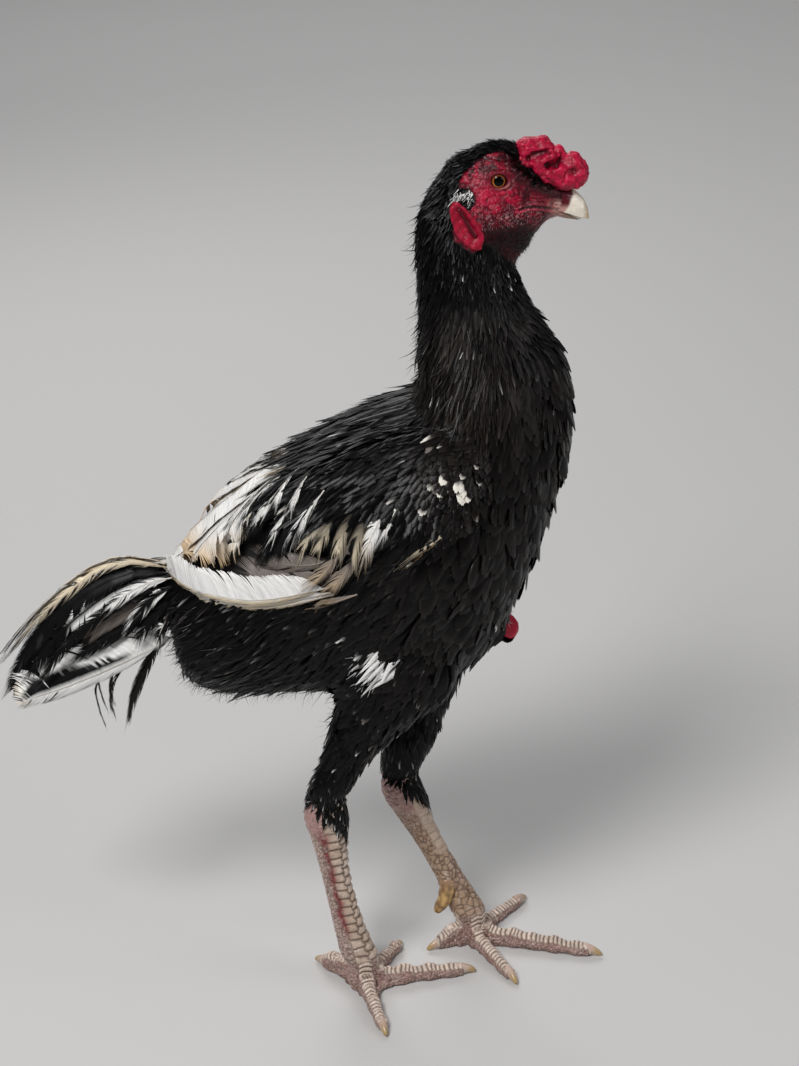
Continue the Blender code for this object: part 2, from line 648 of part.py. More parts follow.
def add_hackles(neck):
    """Narrow feathers from the foot of the neck, lying over the shoulders."""
    vanes = []
    for turn in HACKLE_TURNS:
        for side in (1, -1):
            path, normals = [], []
            for share in VANE_PLACES:
                place = between(HACKLE_ROOT, HACKLE_TIP, share)
                angle = side * math.radians(turn)
                point, normal = body_point(place, angle), body_normal(place, angle)
                lift = between(HACKLE_SINK, HACKLE_LIFT, min(1, share / HACKLE_RISES_BY))
                path.append(point + normal * lift)
                normals.append(normal)
            vanes.append(vane(path, normals, HACKLE_HALF_WIDTH))
    return fuse(neck, vanes)


def make_thigh(side_name, finish):
    side = 1 if side_name == "left" else -1
    rows = THIGH_ROWS[side_name]
    rings = []
    for k in range(THIGH_RINGS):
        share = k / (THIGH_RINGS - 1)
        x, z, half_depth, half_width = smooth_rows(rows, share * (len(rows) - 1))
        y = side * between(HIP_Y, HOCK_Y, share)
        rings.append(oval(Vector((x, y, z)), half_depth, half_width, THIGH_SIDES))
    return skin_rings("thigh_" + side_name, rings, finish)


def make_shank(side_name, finish):
    """A shank with its foot pad. Scutes overlap down the front, each with a small step at its lower edge."""
    side = 1 if side_name == "left" else -1
    rows = SHANK_ROWS[side_name]
    last = len(rows) - 1
    rings = []

    def ring(place, proud):
        x, z, half_depth, half_width = smooth_rows(rows, place)
        y = side * between(HOCK_Y, FOOT_Y, place / last)
        made = oval(Vector((x, y, z)), half_depth, half_width, SHANK_SIDES)
        for s, point in enumerate(made):
            front = max(0, math.cos(2 * math.pi * s / SHANK_SIDES) + 0.2)
            point.x += proud * front
        return made

    rings += [ring(0, 0), ring(SCUTES_FROM / 2, 0)]
    for k in range(SHANK_SCUTES):
        start = between(SCUTES_FROM, SCUTES_TO, k / SHANK_SCUTES)
        end = between(SCUTES_FROM, SCUTES_TO, (k + SCUTE_SHARE) / SHANK_SCUTES)
        rings += [ring(start, 0), ring(end, SCUTE_STEP)]
    foot_x, foot_y = FOOT[side_name]
    for z, radius in PAD_ROWS:
        rings.append(oval(Vector((foot_x, foot_y, z)), radius, radius * 0.95, SHANK_SIDES))
    return skin_rings("shank_" + side_name, rings, finish)


def toe_line(side_name, toe):
    """Start on the pad's axis, direction and length up to the claw."""
    foot = Vector((*FOOT[side_name], 0))
    tip = Vector((*TOES[side_name][toe][:2], 0))
    along = (tip - foot).normalized()
    return foot, along, (tip - foot).length - CLAW_LENGTH


def make_toe(side_name, toe, finish):
    """A toe flat on the floor, with a scute's step across its back at each ring pair."""
    foot, along, length = toe_line(side_name, toe)
    half_width, scutes = TOES[side_name][toe][2:]
    across = Vector((-along.y, along.x, 0))
    rings = []

    def ring(share, proud):
        joints = 1 + TOE_JOINT_RISE * math.cos(share * 2 * math.pi * TOE_JOINTS)
        width = half_width * between(1, TOE_TAPER, share) * joints
        height = TOE_HEIGHT * between(1.15, TOE_TAPER, share) * half_width / 0.0064 * joints
        middle = foot + along * (length * between(0.10, 1, share)) + Vector((0, 0, height * 0.42))
        made = oval(middle, width, height * 0.58, TOE_SIDES, across, Vector((0, 0, 1)))
        for s, point in enumerate(made):
            point.z = max(0.0, point.z + proud * max(0, math.sin(2 * math.pi * s / TOE_SIDES)))
        return made

    rings.append(ring(0, 0))
    for k in range(scutes):
        rings += [ring((k + 0.16) / scutes, 0), ring((k + 1) / scutes, SCUTE_STEP)]
    rings.append(ring(1.02, -0.0015))
    return skin_rings(toe + "_" + side_name, rings, finish)


def make_claw(side_name, toe, finish):
    """A short claw, curved down to the floor in front of its toe."""
    foot, along, length = toe_line(side_name, toe)
    across = Vector((-along.y, along.x, 0))
    half_width = TOES[side_name][toe][2] * TOE_TAPER * 0.62
    start = length * 1.018 + GAP
    rings = []
    for k in range(CLAW_RINGS):
        share = k / CLAW_RINGS
        size = (1 - share ** 1.6) * half_width
        height = CLAW_HEIGHT - CLAW_DROP * share ** 1.8
        middle = foot + along * (start + share * CLAW_LENGTH) + Vector((0, 0, max(height, size * 0.9 + 0.0002)))
        rings.append(oval(middle, size * 0.8, size, CLAW_SIDES, across, Vector((0, 0, 1))))
    tip = foot + along * (start + CLAW_LENGTH) + Vector((0, 0, 0.0007))
    return skin_rings("claw_" + toe + "_" + side_name, rings, finish, tip=tip)


def make_spur(side_name, finish):
    """A blunt horn on the inner back of the shank, pointing back and down."""
    side = 1 if side_name == "left" else -1
    rows = SHANK_ROWS[side_name]
    upper, lower = rows[4], rows[5]
    share = (upper[1] - SPUR_HEIGHT) / (upper[1] - lower[1])
    root = Vector((between(upper[0], lower[0], share), side * (FOOT_Y + 0.001), SPUR_HEIGHT))
    forward, outward, upward = SPUR_ALONG
    along = Vector((forward, side * outward, upward)).normalized()
    across = along.cross(Vector((0, 0, 1))).normalized()
    up = across.cross(along)
    rings = []
    for k in range(SPUR_RINGS):
        share = k / SPUR_RINGS
        size = SPUR_RADIUS * (1 - 0.72 * share ** 1.5)
        rings.append(oval(root + along * (SPUR_LENGTH * share), size, size, 10, across, up))
    return skin_rings("spur_" + side_name, rings, finish, tip=root + along * SPUR_LENGTH)


def rest_at_origin():
    """Moves every mesh so that the origin is at the bottom centre of the whole bird."""
    objects = [o for o in bpy.context.scene.objects if o.type == "MESH"]
    corners = [v.co for o in objects for v in o.data.vertices]
    middle = [(min(c[i] for c in corners) + max(c[i] for c in corners)) / 2 for i in (0, 1)]
    for obj in objects:
        obj.data.transform(Matrix.Translation((-middle[0], -middle[1], 0)))


def build():
    for obj in list(bpy.data.objects):
        bpy.data.objects.remove(obj)

    feathers = material("black feathers", (0.012, 0.011, 0.012), 0.45)
    quills = material("white and black flight feathers", (0.42, 0.39, 0.33), 0.50)
    red_skin = material("red skin", (0.38, 0.012, 0.035), 0.50)
    leg_skin = material("leg scales", (0.50, 0.38, 0.30), 0.55)
    horn = material("horn", (0.72, 0.62, 0.42), 0.35)
    eye_finish = material("eye", (0.35, 0.12, 0.02), 0.05)

    head = make_head(red_skin)
    eyes = [make_eye(side, eye_finish) for side in (1, -1)]
    cut_clear(head, eyes)
    upper = make_beak("beak_upper", UPPER_BEAK, UPPER_TIP, GAP / 2, horn)
    comb = cut_clear(make_comb(red_skin), [upper])
    cut(comb, [body_cutter(["head"])])
    for side in (1, -1):
        cut(upper, [ball("nostril", Vector((NOSTRIL.x, side * NOSTRIL.y, NOSTRIL.z)), NOSTRIL_SIZE, 10, 6)])
    make_beak("beak_lower", LOWER_BEAK, LOWER_TIP, -GAP / 2, horn)

    for name in ("neck_upper", "torso_front", "torso_rear"):
        body_part(name, feathers)
    add_hackles(body_part("neck_lower", feathers))

    face = Flank(FACE, 0.030, 0.090)
    flank = Flank(TORSO, -0.135, 0.075)
    for side in (1, -1):
        cut(make_earlobe(side, face, red_skin), [body_cutter(FACE)])
        cut(make_wing(side, flank, quills), [body_cutter(TORSO)])
    make_tail(quills)

    for side_name in ("right", "left"):
        cut(make_thigh(side_name, feathers), [body_cutter(TORSO)])
        shank = make_shank(side_name, leg_skin)
        cut_clear(make_spur(side_name, horn), [shank])
        toes = []
        for toe in TOES[side_name]:
            toes.append(cut_clear(make_toe(side_name, toe, leg_skin), [shank] + toes))
            make_claw(side_name, toe, horn)

    rest_at_origin()


build()
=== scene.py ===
"""Looks of a standing Aseel rooster: one skin, a coat of mesh feathers, a bare face, a comb, eyes and legs.

Shapes are worked out in the bird's own measuring frame: metres, +X forward, +Y its left, +Z up from the
floor. One shift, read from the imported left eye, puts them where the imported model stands.
"""

import itertools
import math

import bmesh
import bpy
import numpy as np
from mathutils import Matrix, Vector
from mathutils.bvhtree import BVHTree
from mathutils.kdtree import KDTree


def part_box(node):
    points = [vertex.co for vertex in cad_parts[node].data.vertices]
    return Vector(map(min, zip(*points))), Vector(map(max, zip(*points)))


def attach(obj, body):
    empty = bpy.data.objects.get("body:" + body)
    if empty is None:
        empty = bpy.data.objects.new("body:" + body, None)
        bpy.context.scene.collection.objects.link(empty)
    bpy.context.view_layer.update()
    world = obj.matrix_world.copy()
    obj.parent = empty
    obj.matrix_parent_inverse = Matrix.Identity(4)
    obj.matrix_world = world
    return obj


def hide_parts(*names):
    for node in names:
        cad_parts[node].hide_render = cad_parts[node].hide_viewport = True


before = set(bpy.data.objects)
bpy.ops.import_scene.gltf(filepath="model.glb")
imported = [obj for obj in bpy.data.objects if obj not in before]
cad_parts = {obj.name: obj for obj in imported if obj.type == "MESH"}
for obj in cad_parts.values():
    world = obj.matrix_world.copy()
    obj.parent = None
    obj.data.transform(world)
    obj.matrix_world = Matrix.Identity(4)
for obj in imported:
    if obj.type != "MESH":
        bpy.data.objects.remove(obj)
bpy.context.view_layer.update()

MM = 0.001
EYE = np.array((0.0727, 0.0140, 0.6074))
PACKED_EYE = np.array((0.0725, 0.0140, 0.6070))
SHIFT = (np.array(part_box("eye_left")[0]) + np.array(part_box("eye_left")[1])) / 2 - PACKED_EYE
# Most triangles in one piece of the coat, and how wide a feather's patch is on the unwrap
PIECE_LIMIT, PATCH = 180000, 0.003

# The camera: focal length and image height in pixels, pitch and roll in degrees, and its place
FOCAL, IMAGE_HIGH, PITCH, ROLL = 2200, 1066, 24.06, 2.5
CAMERA = (0.0, -1.39, 0.977)


def unit(v):
    return v / np.maximum(np.linalg.norm(v, axis=-1, keepdims=True), 1e-12)


def in_mm(*values):
    """Sizes or places given in millimetres, as metres."""
    return np.array(values) * MM


def mix(low, high, share):
    return low + (high - low) * share


def paint(base, colour, share):
    """Colours with another laid over them, by the share at each point."""
    return mix(base, np.array(colour), share[..., None])


def ramp(low, high, value):
    """A smooth step from 0 at low to 1 at high."""
    share = np.clip((value - low) / (high - low), 0, 1)
    return share * share * (3 - 2 * share)


def bell(value, width):
    return np.exp(-((value / width) ** 2))


def number_of(cell, seed):
    """A number from 0 to 1 for each cell of a grid."""
    i, j, k = cell[..., 0], cell[..., 1], cell[..., 2]
    n = (i * 73856093) ^ (j * 19349663) ^ (k * 83492791) ^ (seed * 2654435761)
    n = ((n ^ (n >> 13)) * 1274126177) & 0xFFFFFFFF
    n = ((n ^ (n >> 16)) * 2246822519) & 0xFFFFFFFF
    return ((n ^ (n >> 15)) & 0xFFFFFF) / 0xFFFFFF


def noise(points, size, seed=0):
    """Smooth noise from -1 to 1, with lumps about size across."""
    place = points / size
    cell = np.floor(place).astype(np.int64)
    f = place - cell
    f = f * f * (3 - 2 * f)
    total = np.zeros(len(points))
    for corner in itertools.product((0, 1), repeat=3):
        weight = np.prod(np.where(np.array(corner) == 1, f, 1 - f), axis=1)
        total += weight * number_of(cell + corner, seed)
    return 2 * total - 1


def cells(points, size, seed=0):
    """Distances to the nearest and the next of scattered points size apart, and the nearest one's number."""
    place = points / size
    cell = np.floor(place).astype(np.int64)
    first = np.full(len(points), 9.0)
    second = first.copy()
    which = np.zeros(len(points))
    for offset in itertools.product((-1, 0, 1), repeat=3):
        near = cell + offset
        spot = near + np.stack([number_of(near, seed + a) for a in range(3)], axis=1)
        away = np.linalg.norm(spot - place, axis=1)
        closer = away < first
        second = np.where(closer, first, np.minimum(second, away))
        which = np.where(closer, number_of(near, seed + 7), which)
        first = np.where(closer, away, first)
    return first, second, which


def line_distance(x, z, line):
    """Distance in side view to an open line of points."""
    best = np.full(np.shape(x), 9.0)
    for (ax, az), (bx, bz) in zip(line, line[1:]):
        dx, dz = bx - ax, bz - az
        share = np.clip(((x - ax) * dx + (z - az) * dz) / (dx * dx + dz * dz), 0, 1)
        best = np.minimum(best, np.hypot(x - ax - share * dx, z - az - share * dz))
    return best


def inside(x, z, outline):
    """Distance in side view to a closed outline, positive inside it."""
    away = line_distance(x, z, [*outline, outline[0]])
    odd = np.zeros(np.shape(x), bool)
    for (ax, az), (bx, bz) in zip(outline, np.roll(outline, -1, axis=0)):
        crosses = (az > z) != (bz > z)
        odd ^= crosses & (x < (bx - ax) * (z - az) / (bz - az + 1e-12) + ax)
    return np.where(odd, away, -away)


def read_mesh(mesh):
    points = np.empty(len(mesh.vertices) * 3)
    mesh.vertices.foreach_get("co", points)
    mesh.calc_loop_triangles()
    tris = np.empty(len(mesh.loop_triangles) * 3, np.int32)
    mesh.loop_triangles.foreach_get("vertices", tris)
    return points.reshape(-1, 3), tris.reshape(-1, 3)


def write_mesh(name, points, tris):
    mesh = bpy.data.meshes.new(name)
    mesh.vertices.add(len(points))
    mesh.vertices.foreach_set("co", points.astype(np.float32).ravel())
    mesh.loops.add(tris.size)
    mesh.loops.foreach_set("vertex_index", tris.astype(np.int32).ravel())
    mesh.polygons.add(len(tris))
    mesh.polygons.foreach_set("loop_start", np.arange(0, tris.size, 3, dtype=np.int32))
    mesh.update(calc_edges=True)
    mesh.shade_smooth()
    return mesh


def joined(*meshes):
    points, tris, first = [], [], 0
    for own, faces in meshes:
        points.append(own)
        tris.append(faces + first)
        first += len(own)
    return np.concatenate(points), np.concatenate(tris)


def packed(*nodes):
    """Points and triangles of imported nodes, in the measuring frame."""
    points, tris = joined(*(read_mesh(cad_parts[node].data) for node in nodes))
    return points - SHIFT, tris


def ball(centre, size):
    """A closed ellipsoid."""
    grid = bmesh.new()
    bmesh.ops.create_icosphere(grid, subdivisions=3, radius=1)
    mesh = bpy.data.meshes.new("ball")
    grid.to_mesh(mesh)
    grid.free()
    points, tris = read_mesh(mesh)
    bpy.data.meshes.remove(mesh)
    return points * np.array(size) + np.array(centre), tris


def remeshed(points, tris, voxel):
    """One closed surface round all that is given, of even quads."""
    obj = bpy.data.objects.new("remesh", write_mesh("remesh", points, tris))
    bpy.context.scene.collection.objects.link(obj)
    modifier = obj.modifiers.new("remesh", "REMESH")
    modifier.mode = "VOXEL"
    modifier.voxel_size = voxel
    made = bpy.data.meshes.new_from_object(obj.evaluated_get(bpy.context.evaluated_depsgraph_get()))
    source = obj.data
    bpy.data.objects.remove(obj)
    bpy.data.meshes.remove(source)
    return made


def refined(mesh, chosen):
    """Splits each edge in two where chosen(points) says so."""
    grid = bmesh.new()
    grid.from_mesh(mesh)
    places = np.array([v.co for v in grid.verts])
    marks = chosen(places)
    edges = [e for e in grid.edges if marks[e.verts[0].index] and marks[e.verts[1].index]]
    bmesh.ops.subdivide_edges(grid, edges=edges, cuts=1, use_grid_fill=True)
    grid.to_mesh(mesh)
    grid.free()
    return mesh


def neighbours(tris, count):
    pairs = np.concatenate([tris[:, [0, 1]], tris[:, [1, 2]], tris[:, [2, 0]]])
    pairs = np.concatenate([pairs, pairs[:, ::-1]])
    return pairs, np.bincount(pairs[:, 0], minlength=count)


def smoothed(points, tris, times, share=0.5, weight=None):
    pairs, degree = neighbours(tris, len(points))
    degree = np.maximum(degree, 1)[:, None]
    for _ in range(times):
        total = np.stack([np.bincount(pairs[:, 0], points[pairs[:, 1], a], len(points)) for a in range(3)],
                         axis=1)
        moved = (total / degree - points) * share
        points = points + (moved if weight is None else moved * weight[:, None])
    return points


def raised(points, normals, height):
    """Points moved outward by a height in millimetres."""
    return points + normals * (height * MM)[:, None]


def normals_of(points, tris):
    across = np.cross(points[tris[:, 1]] - points[tris[:, 0]], points[tris[:, 2]] - points[tris[:, 0]])
    total = np.zeros_like(points)
    for corner in range(3):
        for a in range(3):
            total[:, a] += np.bincount(tris[:, corner], across[:, a], len(points))
    return unit(total)


# A line through the middle of body, neck and head, for unwrapping the skin (x, z)
AXIS = in_mm((-172, 312), (-120, 312), (-50, 330), (20, 352), (52, 400), (68, 465), (58, 530), (55, 572),
             (70, 597), (115, 590))
LEG_TOP = 0.235


def unwrap(points):
    """Places on a flat unwrap of the skin: along and around the body, with each leg beside it."""
    x, y, z = points.T
    best = np.full(len(points), 9.0)
    along, out = np.zeros(len(points)), np.zeros(len(points))
    walked = 0.0
    for a, b in zip(AXIS, AXIS[1:]):
        run = b - a
        length = np.hypot(*run)
        share = np.clip(((x - a[0]) * run[0] + (z - a[1]) * run[1]) / length ** 2, 0, 1)
        away = np.hypot(x - a[0] - share * run[0], z - a[1] - share * run[1])
        side = np.sign(run[0] * (z - a[1]) - run[1] * (x - a[0]))
        closer = away < best
        best = np.where(closer, away, best)
        along = np.where(closer, walked + share * length, along)
        out = np.where(closer, side * away, out)
        walked += length
    u = 0.02 + 0.96 * along / walked
    v = 0.02 + 0.66 * (np.arctan2(y, out) / (2 * math.pi) + 0.5)
    left = y > 0
    middle = np.where(left, mix(-0.008, 0.008, z / LEG_TOP), mix(-0.060, -0.020, z / LEG_TOP))
    turn = np.arctan2(np.abs(y) - 0.034, x - middle) / (2 * math.pi) + 0.5
    leg = z < LEG_TOP
    u = np.where(leg, np.where(left, 0.52, 0.02) + 0.46 * z / LEG_TOP, u)
    v = np.where(leg, 0.72 + 0.26 * turn, v)
    return np.stack([u, v], axis=1)


def material(name, roughness, mottle=0.15, grain=0.0015, relief=0.15, depth=0.0003, vane=False, **sockets):
    """A surface that takes its colour from the mesh's Tint, with fine mottling and relief.

    On a vane the mottling runs as barbs, slanting from the shaft towards the tip.
    """
    made = bpy.data.materials.new(name)
    made.use_nodes = True
    tree = made.node_tree
    shader = tree.nodes["Principled BSDF"]

    def node(kind, **values):
        new = tree.nodes.new(kind)
        for key, value in values.items():
            setattr(new, key, value)
        return new

    def math_node(operation, first, second):
        new = node("ShaderNodeMath", operation=operation)
        for socket, value in zip(new.inputs, (first, second)):
            if isinstance(value, (int, float)):
                socket.default_value = value
            else:
                tree.links.new(value, socket)
        return new.outputs[0]

    tint = node("ShaderNodeAttribute", attribute_name="Tint")
    if vane:
        place = node("ShaderNodeUVMap", uv_map="Vane")
        split = node("ShaderNodeSeparateXYZ")
        tree.links.new(place.outputs[0], split.inputs[0])
        across = math_node("ABSOLUTE", math_node("SUBTRACT", split.outputs[0], 0.5), 0.0)
        barb = math_node("SUBTRACT", math_node("MULTIPLY", split.outputs[1], 34.0),
                         math_node("MULTIPLY", across, 16.0))
        texture = node("ShaderNodeTexNoise", noise_dimensions="1D")
        tree.links.new(barb, texture.inputs["W"])
        texture.inputs["Scale"].default_value = 1.0
        texture.inputs["Detail"].default_value = 1.0
    else:
        place = node("ShaderNodeTexCoord")
        texture = node("ShaderNodeTexNoise")
        tree.links.new(place.outputs["Object"], texture.inputs["Vector"])
        texture.inputs["Scale"].default_value = 1 / grain
        texture.inputs["Detail"].default_value = 3.0
    strength = node("ShaderNodeMapRange")
    tree.links.new(texture.outputs[0], strength.inputs["Value"])
    strength.inputs["From Min"].default_value = 0.25
    strength.inputs["From Max"].default_value = 0.75
    strength.inputs["To Min"].default_value = 1 - mottle
    strength.inputs["To Max"].default_value = 1 + mottle
    colour = node("ShaderNodeVectorMath", operation="SCALE")
    tree.links.new(tint.outputs["Color"], colour.inputs[0])
    tree.links.new(strength.outputs[0], colour.inputs["Scale"])
    tree.links.new(colour.outputs[0], shader.inputs["Base Color"])
    bump = node("ShaderNodeBump")
    bump.inputs["Strength"].default_value = relief
    bump.inputs["Distance"].default_value = depth
    tree.links.new(texture.outputs[0], bump.inputs["Height"])
    tree.links.new(bump.outputs[0], shader.inputs["Normal"])
    shader.inputs["Roughness"].default_value = roughness
    for socket, value in sockets.items():
        shader.inputs[socket.replace("_", " ")].default_value = value
    return made


def piece(name, points, tris, finish, tint, nodes=(), vane=None, patch=None):
    """One shown object: its mesh with a colour at each point, riding on the model."""
    mesh = write_mesh(name, points + SHIFT, tris)
    colours = np.ones((len(points), 4))
    colours[:, :3] = np.clip(tint, 0, 1)
    tints = mesh.attributes.new("Tint", "FLOAT_COLOR", "POINT")
    tints.data.foreach_set("color", colours.astype(np.float32).ravel())
    for label, places in (("Vane", vane), ("OFBake", patch)):
        if places is not None:
            layer = mesh.uv_layers.new(name=label)
            layer.uv.foreach_set("vector", places[tris.ravel()].astype(np.float32).ravel())
    mesh.materials.append(finish)
    obj = bpy.data.objects.new(name, mesh)
    bpy.context.scene.collection.objects.link(obj)
    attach(obj, "root")
    if nodes:
        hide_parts(*nodes)
    return obj


class Coat:
    """Feathers gathered into a few joined meshes."""

    def __init__(self, name, finish, slot):
        self.name, self.finish, self.slot = name, finish, slot
        self.batches = []

    def add(self, points, tris, tint, vane, roots):
        """Adds n feathers of k points each, with the same triangles. vane has each point's place on it."""
        most = max(1, PIECE_LIMIT // len(tris))
        for a in range(0, len(points), most):
            b = min(len(points), a + most)
            patch = unwrap(roots[a:b])[:, None, :] + (vane[a:b] - 0.5) * PATCH
            self.batches.append((points[a:b], tris, tint[a:b], vane[a:b], patch))

    def write(self, nodes=()):
        """Shows the feathers as a few pieces. The first one replaces the nodes."""
        groups, total = [[]], 0
        for batch in self.batches:
            count = len(batch[0]) * len(batch[1])
            if total + count > PIECE_LIMIT and groups[-1]:
                groups.append([])
                total = 0
            groups[-1].append(batch)
            total += count
        for i, group in enumerate(groups):
            tris, first = [], 0
            for points, faces, *_ in group:
                n, k = points.shape[:2]
                tris.append((faces[None] + (first + np.arange(n) * k)[:, None, None]).reshape(-1, 3))
                first += n * k
            flat = [np.concatenate([b[j].reshape(-1, b[j].shape[-1]) for b in group]) for j in (0, 2, 3, 4)]
            piece(f"{self.name}_{i + 1}", flat[0], np.concatenate(tris), self.finish, flat[1],
                  nodes if i == 0 else (), flat[2], flat[3])


def along_path(path, share):
    """Points of each path at shares of its length. path is (n, stations, 3), share (n, ...)."""
    last = path.shape[1] - 1
    place = share * last
    i = np.clip(np.floor(place).astype(int), 0, last - 1)
    f = (place - i)[..., None]
    who = np.arange(len(path)).reshape((-1,) + (1,) * (share.ndim - 1))
    return path[who, i] * (1 - f) + path[who, i + 1] * f


def small_vanes(path, up, half_width, point, rag, draw, rows=5, cols=5, cup=0.22):
    """Feathers as thin cupped sheets with a ragged rim. point 0 is round and 1 lance-shaped.

    Returns points (n, k, 3), triangles, and each point's place across and along its vane.
    """
    n = len(path)
    c = np.linspace(-1, 1, cols)
    reach = 1 - (0.24 + 0.5 * point[:, None]) * np.abs(c) ** mix(1.9, 1.2, point[:, None])
    reach = reach - rag[:, None] * 0.5 * draw.random((n, cols))
    share = np.linspace(0, 1, rows)[None, :, None] * reach[:, None, :]
    across = np.broadcast_to(c, (n, rows, cols))

    tip_share = (np.maximum(reach[:, 1:], reach[:, :-1]) + rag[:, None]
                 * mix(0.15, 0.6, draw.random((n, cols - 1))))
    tip_across = (np.broadcast_to((c[1:] + c[:-1]) / 2, (n, cols - 1))
                  + 0.25 * rag[:, None] * draw.normal(size=(n, cols - 1)))
    edge = []
    for side in (0, -1):
        from_share, to_share = share[:, :-1, side], share[:, 1:, side]
        edge.append((to_share + 0.3 * (to_share - from_share),
                     np.sign(c[side]) * (1 + rag[:, None] * mix(0.2, 0.9, draw.random(to_share.shape)))))
    share = np.concatenate([share.reshape(n, -1), tip_share, edge[0][0], edge[1][0]], axis=1)
    across = np.concatenate([across.reshape(n, -1), tip_across, edge[0][1], edge[1][1]], axis=1)

    root = mix(0.5, 0.3, point)[:, None]
    swell = mix(0.45, 0.35, point)[:, None]
    tail = mix(0.85, 0.30, point)[:, None]
    profile = np.where(share < swell, mix(root, 1, ramp(0, 1, share / swell)),
                       mix(1, tail, ramp(0, 1, (share - swell) / (1 - swell))))
    width = half_width[:, None] * profile
    spot, over = along_path(path, share), unit(along_path(up, share))
    ahead = unit(along_path(path, np.minimum(share + 0.1, 1.2)) - along_path(path, share - 0.1))
    sideways = unit(np.cross(ahead, over))
    points = (spot + sideways * (width * across)[..., None]
              + over * (cup * width * (1 - across ** 2))[..., None])

    tris = []
    for r in range(rows - 1):
        for k in range(cols - 1):
            a = r * cols + k
            tris += [(a, a + 1, a + cols + 1), (a, a + cols + 1, a + cols)]
    tips, low = rows * cols, rows * cols + cols - 1
    high = low + rows - 1
    tris += [((rows - 1) * cols + k, (rows - 1) * cols + k + 1, tips + k) for k in range(cols - 1)]
    for r in range(rows - 1):
        tris += [(r * cols, (r + 1) * cols, low + r),
                 (r * cols + cols - 1, high + r, (r + 1) * cols + cols - 1)]
    vane = np.stack([across / 2 + 0.5, share], axis=-1)
    return points, np.array(tris), vane


def ribbon(stations):
    """Triangles of a ribbon with two points at each station."""
    first = 2 * np.arange(stations - 1)[:, None]
    return np.concatenate([first + (0, 1, 3), first + (0, 3, 2)], axis=1).reshape(-1, 3)


def quill(coat, path, up, widths, look, draw, hand, pitch=1.0 * MM, sweep=13 * MM, fray=0.10, spread=0.25,
          droop=0.15, bare=0.04, blunt=0.25, shaft_size=0.8 * MM):
    """One large feather: a tapered shaft and a row of barbs on each side, which part here and there.

    widths has the shares along the feather, then the reach of the barbs below and above the shaft there.
    look(along, across, draw) gives the colour of the barbs' points. sweep is how far the barbs run forward,
    and spread how much that varies between parted barbs. hand 1 or -1 says which side is above.
    """
    path, up = np.asarray(path)[None], np.asarray(up)[None]
    length = np.linalg.norm(np.diff(path[0], axis=0), axis=1).sum()
    sweep = min(sweep / length, 0.42)
    last = 1 - 0.92 * sweep
    count = max(8, int(length * (last - bare) / pitch))
    shares, *reaches = widths
    for side, reach in zip((-1, 1), reaches):
        tau = np.linspace(0, 1, 10 if max(reach) > 16 * MM else 5)
        start = np.linspace(bare, last, count)
        breaks = np.cumsum(draw.random(count) < fray)
        lean = (sweep * (1 + spread * draw.normal(size=breaks[-1] + 1)[breaks]
                         + 0.04 * draw.normal(size=count)))
        width = (np.interp((start - bare) / (last - bare), shares, reach)
                 * (1 + 0.03 * draw.normal(size=count)))
        near_end = ramp(1 - blunt, 1.0, start / last)[:, None]
        forward = start[:, None] + lean[:, None] * tau ** 1.25
        outward = hand * side * width[:, None] * np.sin(tau * mix(1.35, 0.9, near_end))
        height = -droop * width[:, None] * tau ** 2 + 0.2 * MM * draw.normal(size=count)[:, None] * tau
        half = pitch * 0.78 * (1 - 0.75 * tau ** 4) / length
        spots = []
        for edge in (-1, 1):
            share = forward + edge * half
            spot, over = along_path(path, share.reshape(1, -1)), unit(along_path(up, share.reshape(1, -1)))
            ahead = unit(along_path(path, share.reshape(1, -1) + 0.03)
                         - along_path(path, share.reshape(1, -1) - 0.03))
            sideways = unit(np.cross(ahead, over))
            lift = (height + edge * 0.14 * MM * tau).reshape(1, -1, 1)
            spots.append((spot + sideways * outward.reshape(1, -1, 1)
                          + over * lift).reshape(count, len(tau), 3))
        points = np.stack(spots, axis=2).reshape(count, -1, 3)
        along, across = (np.broadcast_to(start[:, None], forward.shape),
                         side * np.broadcast_to(tau, forward.shape))
        colour = np.repeat(look(along, across, draw), 2, axis=1)
        vane = np.stack([np.repeat(0.5 + 0.5 * across, 2, axis=1), np.repeat(forward, 2, axis=1)], axis=-1)
        roots = along_path(path, start[None])[0]
        coat.add(points, ribbon(len(tau)), colour, vane, roots)
    add_shaft(coat, path, up, last, shaft_size, look, draw)


def add_shaft(coat, path, up, last, shaft_size, look, draw):
    """The tapered three-sided shaft of a large feather, up to a share of its length."""
    stations = np.linspace(0, last, 9)
    spot = along_path(path, stations[None])[0]
    over = unit(along_path(up, stations[None])[0])
    ahead = unit(np.gradient(spot, axis=0))
    sideways = unit(np.cross(ahead, over))
    size = shaft_size * (1 - 0.85 * stations)
    ring = [spot + sideways * (size * math.cos(a))[:, None] + over * (size * math.sin(a) + 0.1 * MM)[:, None]
            for a in (0, math.pi * 2 / 3, math.pi * 4 / 3)]
    points = np.stack(ring, axis=1).reshape(1, -1, 3)
    tris = []
    for a in range(3 * len(stations) - 3):
        b = a + (1 if a % 3 < 2 else -2)
        tris += [(a, b, b + 3), (a, b + 3, a + 3)]
    tint = look(np.repeat(stations[:, None], 3, axis=1), np.full((len(stations), 3), 0.02), draw)
    pale = np.clip(tint.mean(axis=-1, keepdims=True) / 0.25, 0.03, 1)
    tint = mix(tint, np.array((0.62, 0.52, 0.40)), 0.35 * pale).reshape(1, -1, 3)
    coat.add(points, np.array(tris), tint, np.full((1, points.shape[1], 2), 0.5), spot[:1])


